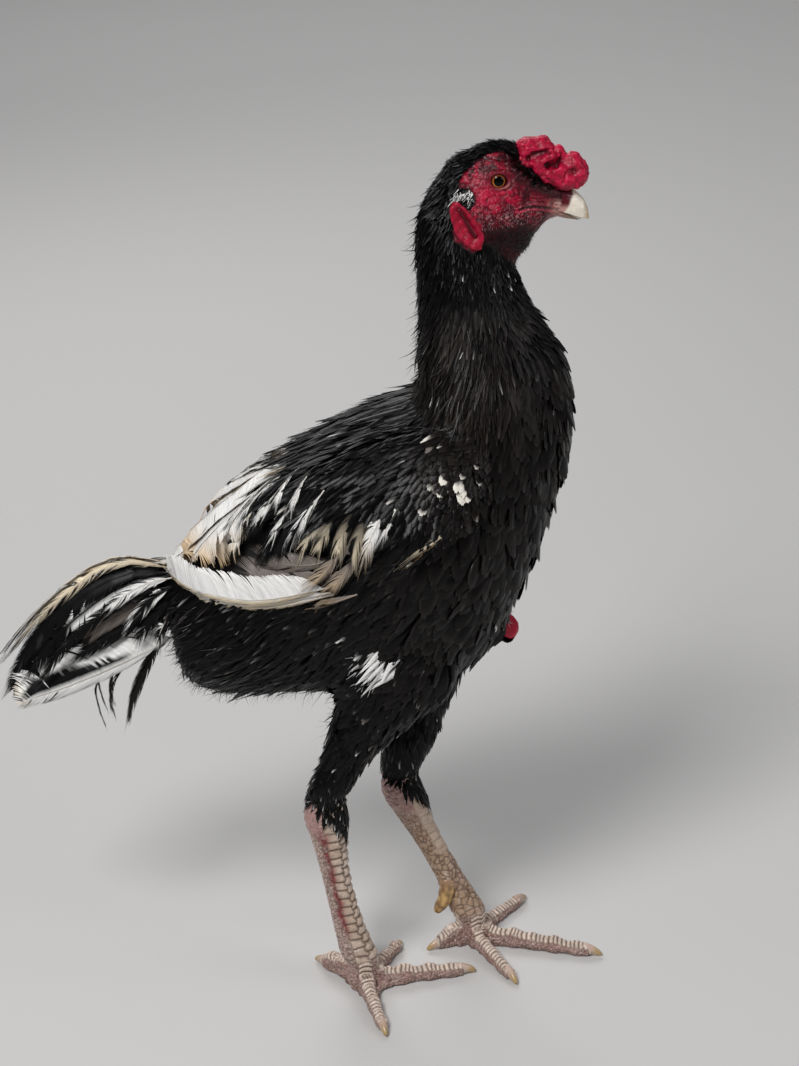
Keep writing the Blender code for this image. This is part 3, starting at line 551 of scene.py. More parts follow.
def wisps(coat, roots, directions, ups, length, half_width, sag, tint, draw):
    """Single hair-like barbs: narrow ribbons that bend over."""
    n, stations = len(roots), 4
    t = np.linspace(0, 1, stations)[None, :, None]
    bend = unit(directions)[:, None] * t + ups[:, None] * (sag[:, None, None] * t * (1 - 0.6 * t))
    swirl = unit(np.cross(directions, ups))[:, None] * (0.25 * draw.normal(size=(n, 1, 1)) * t ** 2)
    path = roots[:, None] + (bend + swirl) * length[:, None, None]
    side = unit(np.cross(directions, ups))[:, None] * (half_width[:, None, None] * (1 - 0.9 * t))
    points = np.stack([path - side, path + side], axis=2).reshape(n, -1, 3)
    share = np.repeat(np.broadcast_to(t[..., 0], (n, stations)), 2, axis=1)
    vane = np.stack([np.full_like(share, 0.5), share], axis=-1)
    coat.add(points, ribbon(stations), np.broadcast_to(tint[:, None], points.shape), vane, roots)


# Colours of feathers and bare skin, as the share of light reflected
BLACK, SOOT, BROWN, GREY, WHITE, CREAM, TAN, RED, MAROON = np.array((
    (0.0025, 0.0025, 0.0028), (0.010, 0.009, 0.009), (0.017, 0.0125, 0.0105), (0.042, 0.036, 0.033),
    (0.84, 0.83, 0.81), (0.72, 0.62, 0.46), (0.50, 0.36, 0.21), (0.46, 0.012, 0.040), (0.075, 0.004, 0.012)))

# How the coat lies, at places all over the body (both sides alike): x, y, z in millimetres, then the flow
# in degrees in side view (180 is backward, 270 down), then length, half width, lift and spacing in
# millimetres, then how pointed and how ragged the feathers are, how brown, how pale their rims, and the share
# with white tips
TRACTS = np.array((
    (88, 4, 628, 176, 6, 1.3, 1.4, 1.7, 0.8, 0.5, 0, 0, 0.02),
    (60, 10, 622, 192, 8, 1.5, 1.8, 1.8, 0.8, 0.5, 0, 0, 0.01),
    (34, 10, 602, 226, 10, 1.7, 2.8, 2, 0.9, 0.7, 0, 0, 0.01),
    (98, 10, 606, 235, 5, 1.1, 1, 1.6, 0.8, 0.5, 0, 0, 0.02),
    (44, 22, 598, 245, 7, 1.4, 1.6, 1.7, 0.7, 0.5, 0, 0, 0.04),
    (22, 6, 570, 250, 14, 1.8, 3.4, 2.3, 0.9, 0.8, 0, 0, 0.01),
    (50, 24, 556, 262, 12, 1.9, 2, 2.2, 0.8, 0.5, 0, 0, 0.03),
    (83, 10, 548, 275, 9, 1.6, 1.6, 2.3, 0.7, 0.6, 0, 0, 0.04),
    (20, 4, 530, 256, 22, 1.8, 4.6, 2.6, 1, 0.8, 0, 0, 0.01),
    (55, 30, 525, 262, 18, 2.1, 2.4, 2.8, 0.9, 0.5, 0.1, 0.1, 0.02),
    (92, 10, 520, 285, 14, 2.3, 2.2, 3, 0.5, 0.5, 0.2, 0.1, 0.02),
    (22, 6, 490, 252, 34, 2, 4.5, 3, 1, 0.9, 0.2, 0.2, 0.06),
    (55, 38, 485, 256, 34, 2.3, 3.6, 3.4, 1, 0.7, 0.7, 0.5, 0.05),
    (95, 30, 480, 266, 21, 4.6, 2.8, 5.2, 0.3, 0.4, 0.4, 0.4, 0.01),
    (118, 4, 465, 270, 21, 5, 3, 5.6, 0.2, 0.5, 0.5, 0.5, 0.01),
    (118, 4, 425, 264, 24, 6.2, 3.2, 6.6, 0.1, 0.4, 0.5, 0.6, 0.01),
    (85, 45, 420, 258, 24, 6.2, 2.8, 6.6, 0.1, 0.3, 0.4, 0.6, 0.01),
    (100, 4, 370, 256, 25, 6.6, 3.2, 6.8, 0.1, 0.4, 0.5, 0.7, 0.01),
    (70, 55, 360, 246, 25, 6.6, 2.8, 6.8, 0.1, 0.3, 0.4, 0.7, 0.02),
    (85, 4, 310, 246, 25, 6.2, 3.2, 6.6, 0.1, 0.5, 0.4, 0.7, 0.02),
    (45, 55, 310, 232, 25, 6.2, 2.8, 6.6, 0.1, 0.4, 0.3, 0.6, 0.04),
    (55, 10, 260, 228, 20, 4, 3.6, 4.8, 0.4, 0.7, 0.2, 0.4, 0.03),
    (10, 60, 290, 226, 25, 5.6, 3, 6.2, 0.2, 0.5, 0.2, 0.5, 0.05),
    (-40, 60, 290, 214, 24, 4, 3.2, 5, 0.4, 0.7, 0.1, 0.3, 0.03),
    (-90, 50, 290, 210, 28, 3, 3.6, 4.4, 0.8, 1, 0, 0.1, 0.01),
    (-100, 20, 245, 222, 26, 2.6, 5, 4, 1, 1, 0, 0.1, 0.01),
    (-40, 15, 242, 214, 24, 3, 4.5, 4.4, 0.8, 1, 0, 0.1, 0.01),
    (-150, 20, 265, 232, 26, 2.6, 5, 4, 1, 1, 0, 0.1, 0.03),
    (-155, 20, 320, 215, 34, 3, 4.5, 4.6, 0.9, 1, 0, 0.1, 0.1),
    (5, 4, 452, 214, 34, 3.2, 5, 4, 0.9, 0.6, 0.1, 0.2, 0.06),
    (-50, 6, 425, 214, 38, 3.6, 5, 4.4, 0.8, 0.6, 0, 0.1, 0.03),
    (-110, 6, 386, 216, 38, 3.6, 3.6, 4.6, 0.8, 0.8, 0, 0.1, 0.1),
    (10, 55, 440, 212, 30, 3.4, 3, 4.4, 0.6, 0.5, 0.2, 0.2, 0.03),
    (-5, 60, 250, 236, 18, 3.6, 2.8, 4.4, 0.4, 0.6, 0.1, 0.3, 0.05),
    (-35, 50, 215, 238, 14, 2.8, 2.4, 3.6, 0.5, 0.6, 0.1, 0.2, 0.1),
    (-56, 45, 178, 262, 15, 2, 1.6, 2.6, 0.6, 0.6, 0.1, 0.1, 0.24),
    (-62, 38, 160, 266, 16, 1.8, 1.2, 2.2, 0.6, 0.6, 0.1, 0.1, 0.28),
    (12, 40, 200, 262, 13, 2.6, 2.4, 3.4, 0.5, 0.6, 0.1, 0.2, 0.1),
    (-4, 36, 158, 268, 16, 1.9, 1.2, 2.4, 0.6, 0.6, 0.1, 0.1, 0.2),
))
FLOW, LENGTH, HALF_WIDTH, LIFT, SPACING, POINTED, RAG, BROWNER, RIM, TIPPED = range(3, 13)


def tract(points, columns):
    """Values of the coat at points, from the nearest named places. The flow comes as a direction."""
    own = np.abs(points) * (1, 0.6, 1) * (np.sign(points) * (1, 0, 1) + (0, 1, 0))
    places = TRACTS[:, :3] * MM * (1, 0.6, 1)
    away = ((own[:, None] - places[None]) ** 2).sum(axis=2)
    weight = 1 / (away + 4e-6) ** 2
    weight /= weight.sum(axis=1, keepdims=True)
    found = []
    for column in columns:
        if column == FLOW:
            turn = np.radians(TRACTS[:, FLOW])
            x, z = weight @ np.cos(turn), weight @ np.sin(turn)
            found.append(unit(np.stack([x, np.zeros_like(x), z], axis=1)))
        else:
            found.append(weight @ TRACTS[:, column])
    return found


# The bare face in side view, from the back of the brow round by the beak and under the ear (x, z)
FACE = in_mm((47.6, 605), (50.5, 615), (58.3, 621.3), (65.2, 627.5), (70.3, 629), (79, 627.5),
             (84.8, 621.5), (88.8, 614), (96.8, 607.2), (113, 603), (130, 600), (130, 570), (104, 572),
             (96, 566), (88.5, 560), (84, 552), (77, 554.5), (70, 564), (61, 568), (56, 562), (44, 570),
             (42, 586), (50, 593), (56, 596), (49, 599))
# The shaded line under the comb, the line of the mouth, and the groove of the earlobe
COMB_FOOT = in_mm((81, 622), (87, 611), (96, 602), (112, 597))
EAR_GROOVE = in_mm((47.4, 590), (51, 584.5), (53, 580), (56.2, 574))
MOUTH = in_mm((85.6, 588), (90.5, 589.3), (96.5, 588.8), (103, 587), (108.5, 584.9), (118.2, 581.2))


def seen_height(points):
    """The height that a point of the head has in the photograph's view, as seen 18 mm from the middle."""
    return points[:, 2] + math.tan(math.radians(PITCH)) * np.maximum(0.018 - np.abs(points[:, 1]), 0)


# The bare red place at the front of the keel (x, z)
KEEL = (0.0750, 0.2800)
# The tuft of short feathers over the ear
EAR = in_mm((44, 593), (43.6, 601), (48, 604.5), (54.5, 603.5), (58.2, 598.5), (57.2, 593.2),
            (50.5, 590.5))


def keel_distance(x, z):
    """Distance in side view to the bare place at the keel."""
    return np.hypot(x - KEEL[0], z - KEEL[1])


def bareness(points):
    """1 on bare skin of the face, 0 under feathers, with an uneven edge."""
    away = inside(points[:, 0], seen_height(points), FACE) + 0.0012 * noise(points, 0.004, 3)
    away = np.minimum(away, -inside(points[:, 0], seen_height(points), EAR))
    return ramp(-0.0012, 0.0016, away) * ramp(0.535, 0.545, points[:, 2])


def coat_depth(points):
    """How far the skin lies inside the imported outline."""
    x, _, z = points.T
    depth = mix(1.2, 3.0, ramp(0.60, 0.50, z))
    depth = mix(depth, 4.5, ramp(0.46, 0.42, z) * ramp(0.10, 0.0, x))
    depth = mix(depth, 6.0, ramp(-0.03, -0.09, x) * ramp(0.20, 0.24, z))
    depth = mix(depth, 1.2, ramp(0.20, 0.175, z))
    depth = mix(depth, 1.8, ramp(0.172, 0.155, z))
    depth = depth * ramp(0.010, 0.014, keel_distance(x, z))
    return MM * depth * (1 - bareness(points))


FLESH = ("torso_rear", "torso_front", "neck_lower", "neck_upper", "head", "thigh_left", "thigh_right")
SKIN_VOXEL = 2.2 * MM
# Rounded forms joined into the skin: rump, root of the beak, keel, crown and nape (centre, half sizes)
SKIN_FORMS = in_mm(((-166, 0, 314), (22, 20, 24)), ((110.5, 0, 589.5), (6.2, 10.8, 12.8)),
                   ((75, 0, 280), (7.2, 8.5, 10)), ((74, 0, 616), (22, 11, 14)),
                   ((58, 0, 607.5), (21, 12, 16.5)))


def eye_place(points):
    """Each point's place round the eye on its side: 1 is the rim of the open lids."""
    dx, dz = points[:, 0] - EYE[0], points[:, 2] - EYE[2]
    dz = dz + 0.18 * np.maximum(dx - 0.003, 0)
    return np.hypot(dx / np.where(dx > 0, 0.0058, 0.0047), dz / np.where(dz > 0, 0.0041, 0.0044))


def face_relief(points):
    """How far the skin of the head stands out, and its hollows and ridges, which the colour turns into
    painted shade and painted highlights.
    """
    x, y, z = points.T
    bare = bareness(points)
    sideways = ramp(0.006, 0.011, np.abs(y))
    rim = eye_place(points)
    well = -3.4 * ramp(1.04, 0.90, rim)
    lids = 0.75 * bell(rim - 1.22, 0.14) - 0.20 * bell(rim - 1.55, 0.12) + 0.20 * bell(rim - 1.85, 0.18)
    mouth_away = line_distance(x, z, MOUTH)
    mouth = -1.1 * bell(mouth_away, 0.00055) + 0.35 * bell(mouth_away - 0.0017, 0.0009)
    folds = (0.22 * np.cos(2 * math.pi * mouth_away / 0.0021) * bell(mouth_away, 0.0055)
             * ramp(0.080, 0.088, x))
    first, *_ = cells(points, 0.0021, 11)
    coarse = mix(0.30, 0.62, ramp(0.072, 0.058, x)) * (0.55 - first)
    small, *_ = cells(points, 0.0011, 23)
    grains = coarse + 0.16 * (0.5 - small)
    creases = -0.5 * bell(noise(points * (1, 1, 1.7), 0.0075, 31), 0.16)
    calm = ramp(1.0, 1.5, rim) * ramp(0.0006, 0.0022, mouth_away)
    throat = 0.7 * np.sin(x / 0.0017 + 3 * noise(points, 0.02, 5)) * ramp(0.572, 0.560, z)
    relief = ((well + lids) * sideways + mouth * sideways + bare * calm
              * (grains + creases + 0.4 * folds + throat) + folds * bare)
    return (relief * MM, bare * (1.1 * coarse + 0.35 * creases) + 0.35 * lids * sideways
            + 0.9 * mouth * sideways)


def make_skin(pads):
    """One closed skin from the neck and head to the body and thighs, finer where it shows."""
    flesh = packed(*FLESH, "eye_left", "eye_right")
    mesh = remeshed(*joined(flesh, *(ball(*form) for form in SKIN_FORMS), *pads), SKIN_VOXEL)
    mesh = refined(mesh, lambda p: (p[:, 2] > 0.543) & (p[:, 0] > 0.030))
    mesh = refined(mesh, lambda p: bareness(p) > 0.02)
    mesh = refined(mesh, lambda p: (bareness(p) > 0.3) & (eye_place(p) < 2.2))
    points, tris = read_mesh(mesh)
    bpy.data.meshes.remove(mesh)
    soft = ramp(0.540, 0.548, points[:, 2])
    points = smoothed(points, tris, 10, 0.5, mix(0.5, 1.0, soft))
    normals = normals_of(points, tris)
    depth = coat_depth(points)
    points = points - normals * depth[:, None]
    points = smoothed(points, tris, 4)
    normals = normals_of(points, tris)
    # height holds the hollows and ridges of the face, which its colour shows as painted shade and painted
    # highlights.
    relief, height = face_relief(points)
    near_eye = ramp(1.3, 0.9, eye_place(points)) * ramp(0.006, 0.011, np.abs(points[:, 1]))
    push = unit(mix(normals, np.sign(points[:, 1])[:, None] * np.array((0.0, 1.0, 0.0)), near_eye[:, None]))
    points = points + push * relief[:, None]
    tint = skin_tint(points, height)
    return points, tris, tint


def skin_tint(points, height):
    """Colours of the bare face, with painted shade under the comb and over the eye, a painted patch of light
    behind and below the eye, painted shade in the hollows and painted highlights on the ridges, and of the
    skin under the feathers.
    """
    x, y, _ = points.T
    z = seen_height(points)
    sideways = ramp(0.006, 0.011, np.abs(y))
    bare = bareness(points)[:, None]
    rim = eye_place(points)
    # dark is near black towards the throat, and painted shade along the foot of the comb, over the lore under
    # the comb and round the top of the eye under the brow.
    dark = ramp(0.586, 0.573, z) * ramp(0.056, 0.066, x)
    dark = np.maximum(dark, 0.95 * bell(line_distance(x, z, COMB_FOOT), 0.0070))
    lore = z - np.interp(x, (0.078, 0.090, 0.108), (0.6050, 0.6005, 0.5945))
    dark = np.maximum(dark, 0.90 * ramp(-0.0015, 0.0040, lore + 0.0015 * noise(points, 0.004, 45))
                      * ramp(0.0795, 0.0850, x))
    dark = np.maximum(dark, 0.6 * bell(rim - 1.25, 0.35) * sideways * ramp(-0.002, 0.004, z - EYE[2]))
    lit = bell(np.hypot((x - 0.063) / 1.3, z - 0.5975), 0.008)
    patchy = ramp(-0.25, 0.45, noise(points, 0.0050, 41) + 0.5 * noise(points, 0.0021, 43))
    pits = ramp(0.05, 0.45, noise(points, 0.0013, 44)) * mix(1.0, 0.45, lit)
    pits = pits * ramp(-0.6, 0.2, noise(points, 0.0060, 46))
    jowl = ramp(0.5905, 0.5830, z) * ramp(0.056, 0.064, x) * ramp(-0.5, 0.3, noise(points, 0.0040, 48))
    jaw = ramp(0.060, 0.068, x) * ramp(0.590, 0.583, z) * ramp(0.572, 0.578, z)
    speck = ramp(0.30, 0.50, noise(points, 0.0011, 47)) * mix(0.25, 0.8, jaw)
    throat = bell(np.hypot(x - 0.0817, z - 0.556), 0.005)
    lower = ramp(0.0, -0.003, z - EYE[2]) * ramp(-0.004, 0.002, x - EYE[0])
    near_beak = ramp(0.1020, 0.1130, x + 0.002 * noise(points, 0.003, 53))
    near_beak = near_beak * ramp(0.5960, 0.5915, z) * ramp(0.5800, 0.5820, z)
    base = (0.38, 0.003, 0.030)
    for colour, share in (
            ((0.045, 0.001, 0.006), 0.85 * patchy * (1 - 0.6 * lit)),
            ((0.50, 0.006, 0.050), 0.6 * lit * (1 - dark)),
            ((0.030, 0.001, 0.004), 0.75 * pits),
            ((0.040, 0.001, 0.005), 0.55 * jowl),
            ((0.012, 0.0008, 0.002), np.clip(0.985 * dark, 0, 1)),
            # Painted shade in the hollows of the face and painted highlights on its ridges.
            ((0.03, 0.001, 0.004), np.clip(-2.2 * height, 0, 0.9)),
            ((0.62, 0.06, 0.11), np.clip(2.2 * height - 0.2, 0, 0.6) * (1 - dark)),
            ((0.12, 0.003, 0.008), 0.8 * throat),
            ((0.62, 0.30, 0.32), 0.6 * speck * (1 - dark)),
            ((0.09, 0.005, 0.010), 0.8 * bell(rim - 1.15, 0.22) * sideways),
            ((0.50, 0.17, 0.16), 0.8 * bell(rim - 1.24, 0.10) * sideways * lower),
            ((0.05, 0.006, 0.008), ramp(1.06, 0.92, rim) * sideways),
            ((0.58, 0.34, 0.30), 0.85 * near_beak)):
        base = paint(base, colour, share)
    keel = ramp(0.0165, 0.0135, keel_distance(x, points[:, 2])) * ramp(0.016, 0.010, np.abs(y))
    hock = ramp(0.006, -0.002, over_hem(points))[:, None] * ramp(0.200, 0.185, points[:, 2])[:, None]
    under = mix(SOOT * 0.6, np.array((0.30, 0.12, 0.10)), hock)
    under = paint(under, RED, keel)
    return mix(under, base, bare)


def spread_out(points, radius, draw):
    """Keeps points in random order so that none is nearer to a kept one than its own radius."""
    order = draw.permutation(len(points))
    tree = KDTree(len(points))
    for i, p in enumerate(points):
        tree.insert(p, i)
    tree.balance()
    kept = np.zeros(len(points), bool)
    dropped = np.zeros(len(points), bool)
    for i in order:
        if dropped[i]:
            continue
        kept[i] = True
        for _, j, _ in tree.find_range(points[i], radius[i]):
            if j != i:
                dropped[j] = True
    return kept


def scatter(points, tris, spacing, allowed, draw, tries=3.2):
    """Random places on a surface, about spacing(places) apart, with their outward directions."""
    corners = points[tris]
    across = np.cross(corners[:, 1] - corners[:, 0], corners[:, 2] - corners[:, 0])
    area = np.linalg.norm(across, axis=1) / 2
    centres = corners.mean(axis=1)
    wanted = area * allowed(centres) / spacing(centres) ** 2 * tries
    count = int(wanted.sum())
    chosen = draw.choice(len(tris), count, p=wanted / wanted.sum())
    a, b = draw.random((2, count))
    fold = a + b > 1
    a, b = np.where(fold, 1 - a, a), np.where(fold, 1 - b, b)
    c = corners[chosen]
    spots = c[:, 0] + (c[:, 1] - c[:, 0]) * a[:, None] + (c[:, 2] - c[:, 0]) * b[:, None]
    out = unit(across[chosen])
    kept = spread_out(spots, spacing(spots) * 0.80, draw)
    return spots[kept], out[kept]


def laid(tree, roots, normals, flow, length, lift, draw, sink=0.4 * MM, stations=4, turn=0.14, offset=0.0):
    """Paths of feathers that lie along a surface, lifting towards their tips."""
    n = len(roots)
    spots, ups = [roots], [normals]
    direction = flow - normals * (flow * normals).sum(axis=1, keepdims=True)
    side = unit(np.cross(normals, direction))
    direction = (unit(direction) + side * (turn * draw.normal(size=(n, 1))
                                           + 0.28 * noise(roots, 0.020, 163)[:, None]))
    spot, up = roots, normals
    for _ in range(stations - 1):
        direction = unit(direction - up * (direction * up).sum(axis=1, keepdims=True))
        ahead = spot + direction * (length / (stations - 1))[:, None]
        found = [tree.find_nearest(p) for p in ahead]
        spot = np.array([f[0] for f in found])
        near = unit(mix(np.array([f[1] for f in found]), up, 0.35))
        up = near
        spots.append(spot)
        ups.append(up)
    shares = np.linspace(0, 1, stations)
    rise = lift * mix(0.75, 1.25, draw.random(n)) * np.where(draw.random(n) < 0.06, 1.8, 1.0)
    made = []
    for share, spot, up in zip(shares, spots, ups):
        made.append(spot + up * (rise * share ** 1.1 - sink * (1 - share) + offset)[:, None])
    return np.stack(made, axis=1), np.stack(ups, axis=1)


def coat_tint(vane, base, rim, tip, tip_share, draw):
    """Colours over each vane: base, paler rim, and a tip of another colour."""
    across, share = np.abs(vane[..., 0] * 2 - 1), vane[..., 1]
    edge = np.maximum(ramp(0.45, 1.0, across), ramp(0.70, 1.05, share))[..., None]
    tint = mix(base[:, None], rim[:, None], edge * mix(0.5, 1.0, draw.random((len(vane), 1, 1))))
    ends = ramp(0, 0.25, share - (1 - tip_share[:, None]))[..., None]
    return mix(tint, tip[:, None], ends)


# The wing in side view along the camera's pitch: x, and height across that direction
SIDE_TURN = math.radians(24)
WING = in_mm((64, 352), (60, 380), (40, 402), (12, 410), (-20, 408), (-52, 397), (-90, 378), (-118, 352),
             (-128, 330), (-110, 322), (-88, 322), (-66, 314), (-36, 304), (-4, 310), (24, 324), (50, 338))
# What its small feathers cover down to their tips, and where its long feathers lie over the back
COVERED = in_mm((66, 350), (62, 384), (40, 406), (12, 416), (-20, 412), (-52, 400), (-60, 388), (-70, 380),
                (-86, 366), (-98, 350), (-102, 338), (-94, 330), (-80, 326), (-64, 322), (-50, 330),
                (-36, 326), (-20, 330), (-8, 322), (4, 300), (26, 312), (52, 326))
OVER_BACK = in_mm((-52, 386), (-85, 380), (-110, 362), (-130, 347), (-156, 321), (-150, 300), (-52, 300))


class Side:
    """One side of the body with its wing, as a height over the plane that faces the camera's pitch."""

    STEP = 2.5 * MM

    def __init__(self, side):
        self.side = side
        self.out = np.array((0, side * math.cos(SIDE_TURN), math.sin(SIDE_TURN)))
        self.rise = np.array((0, -side * math.sin(SIDE_TURN), math.cos(SIDE_TURN)))
        name = "left" if side > 0 else "right"
        points, tris = packed("torso_rear", "torso_front", "wing_" + name)
        tree = BVHTree.FromPolygons(points.tolist(), tris.tolist())
        self.xs = np.arange(-0.200, 0.090, self.STEP)
        self.qs = np.arange(0.250, 0.430, self.STEP)
        heights = np.full((len(self.xs), len(self.qs)), np.nan)
        for i, x in enumerate(self.xs):
            for j, q in enumerate(self.qs):
                start = np.array((x, 0, 0)) + self.rise * q + self.out
                hit = tree.ray_cast(start, -self.out)[0]
                if hit is not None:
                    heights[i, j] = np.dot(np.array(hit), self.out)
        for _ in range(60):
            around = np.stack([np.roll(heights, s, a) for s, a in ((1, 0), (-1, 0), (1, 1), (-1, 1))])
            filled = np.isnan(heights) & ~np.isnan(around).all(axis=0)
            heights[filled] = np.nanmean(around[:, filled], axis=0) - 0.0002
        heights = np.nan_to_num(heights, nan=0.0)
        for _ in range(6):
            padded = np.pad(heights, 1, mode="edge")
            heights = ((padded[:-2, 1:-1] + padded[2:, 1:-1] + padded[1:-1, :-2] + padded[1:-1, 2:]
                        + 2 * heights) / 6)
        self.heights = heights

    def height(self, x, q):
        """The height of the body there, between the points of the grid."""
        i = np.clip((x - self.xs[0]) / self.STEP, 0, len(self.xs) - 1.001)
        j = np.clip((q - self.qs[0]) / self.STEP, 0, len(self.qs) - 1.001)
        a, b = i.astype(int), j.astype(int)
        f, g = i - a, j - b
        h = self.heights
        return (h[a, b] * (1 - f) * (1 - g) + h[a + 1, b] * f * (1 - g) + h[a, b + 1] * (1 - f) * g
                + h[a + 1, b + 1] * f * g)

    def place(self, x, q, off):
        """Points over the side, and the outward directions there."""
        x, q = np.asarray(x, float), np.asarray(q, float)
        step = 5 * MM
        by_x = (self.height(x + step, q) - self.height(x - step, q)) / (2 * step)
        by_q = (self.height(x, q + step) - self.height(x, q - step)) / (2 * step)
        up = unit(self.out - np.stack([by_x, by_x * 0, by_x * 0], axis=-1) - self.rise * by_q[..., None])
        spot = self.rise * q[..., None] + self.out * self.height(x, q)[..., None]
        spot[..., 0] = x
        return spot + up * np.asarray(off)[..., None], up


def curve(spots, count):
    """A smooth line through a few places, as count points."""
    spots = np.array(spots, float)
    t = np.linspace(0, len(spots) - 1, count)
    i = np.clip(t.astype(int), 0, len(spots) - 2)
    f = (t - i)[:, None]
    a, b, c, d = (spots[np.clip(i + k, 0, len(spots) - 1)] for k in (-1, 0, 1, 2))
    return (0.5 * (2 * b + (c - a) * f + (2 * a - 5 * b + 4 * c - d) * f ** 2
                   + (3 * b - a - 3 * c + d) * f ** 3))


def make_floor():
    mesh = bpy.data.meshes.new("floor")
    grid = bmesh.new()
    bmesh.ops.create_grid(grid, x_segments=1, y_segments=1, size=6)
    grid.to_mesh(mesh)
    grid.free()
    floor = bpy.data.objects.new("floor", mesh)
    bpy.context.scene.collection.objects.link(floor)
    pale = bpy.data.materials.new("pale floor")
    pale.use_nodes = True
    shader = pale.node_tree.nodes["Principled BSDF"]
    shader.inputs["Base Color"].default_value = (0.62, 0.61, 0.60, 1)
    shader.inputs["Roughness"].default_value = 0.75
    mesh.materials.append(pale)


def make_camera():
    data = bpy.data.cameras.new("camera")
    data.sensor_width = 36
    data.lens = FOCAL / IMAGE_HIGH * data.sensor_width
    camera = bpy.data.objects.new("camera", data)
    bpy.context.scene.collection.objects.link(camera)
    pitch, roll = math.radians(PITCH), math.radians(ROLL)
    forward = Vector((0, math.cos(pitch), -math.sin(pitch)))
    right = Vector((1, 0, 0))
    up = right.cross(forward)
    turned_right = right * math.cos(roll) - up * math.sin(roll)
    turned_up = right * math.sin(roll) + up * math.cos(roll)
    turn = Matrix((turned_right, turned_up, -forward)).transposed()
    camera.matrix_world = Matrix.Translation(Vector(CAMERA) + Vector(SHIFT)) @ turn.to_4x4()
    bpy.context.scene.camera = camera


# Area lights: name, place, size, power, and what they are aimed at
BIRD, FAR_FLOOR = (0.0, 0.0, 0.33), (0.0, 3.6, 0.0)
LIGHTS = (("key", (-0.7, -1.4, 2.2), 0.8, 47, BIRD), ("front", (1.9, -0.8, 1.3), 1.0, 8, BIRD),
          ("back", (-0.5, 1.7, 1.7), 1.2, 12, BIRD), ("far", (0.0, 3.4, 2.8), 3.0, 45, FAR_FLOOR))


def make_lights():
    world = bpy.data.worlds.new("studio")
    world.use_nodes = True
    background = world.node_tree.nodes["Background"]
    background.inputs["Color"].default_value = (0.93, 0.95, 1.0, 1)
    background.inputs["Strength"].default_value = 0.12
    bpy.context.scene.world = world
    bpy.context.scene.view_settings.view_transform = "Standard"
    for name, place, size, power, aim in LIGHTS:
        data = bpy.data.lights.new(name, "AREA")
        data.size = size
        data.energy = power
        light = bpy.data.objects.new(name, data)
        light.location = place
        light.rotation_euler = (Vector(aim) - Vector(place)).to_track_quat("-Z", "Y").to_euler()
        bpy.context.scene.collection.objects.link(light)


def covered_by_wing(points):
    """Where the feathers of a wing hide the body."""
    x, y, z = points.T
    q = z * math.cos(SIDE_TURN) - np.abs(y) * math.sin(SIDE_TURN)
    return (inside(x, q, WING) > 0.006) & (np.abs(y) > 0.030) | (inside(x, q, OVER_BACK) > 0.003)


def on_body(points):
    """Where small feathers grow on the body."""
    in_ear = inside(points[:, 0], seen_height(points), EAR) > 0
    return ((bareness(points) < 0.5) & ~covered_by_wing(points) & ~in_ear
            & ((points[:, 2] > 0.19) | on_leg(points)))


def over_hem(points):
    """Height over the lower edge of the leg's feathers."""
    x, y, z = points.T
    edges = [np.interp(x, (ax, bx), (az, bz)) for (ax, az), (bx, bz) in FEATHER_EDGE.values()]
    return z - np.where(y < 0, *edges)


def on_leg(points):
    """Where feathers hang over the top of a shank."""
    return over_hem(points) > 0.007


# How far the feathers of the back stand off, and the white place on each flank (x, z) with its reach
SADDLE_STAND = 8.0 * MM
FLANK_PATCH, FLANK_REACH = (-0.0230, 0.2800), 0.0125


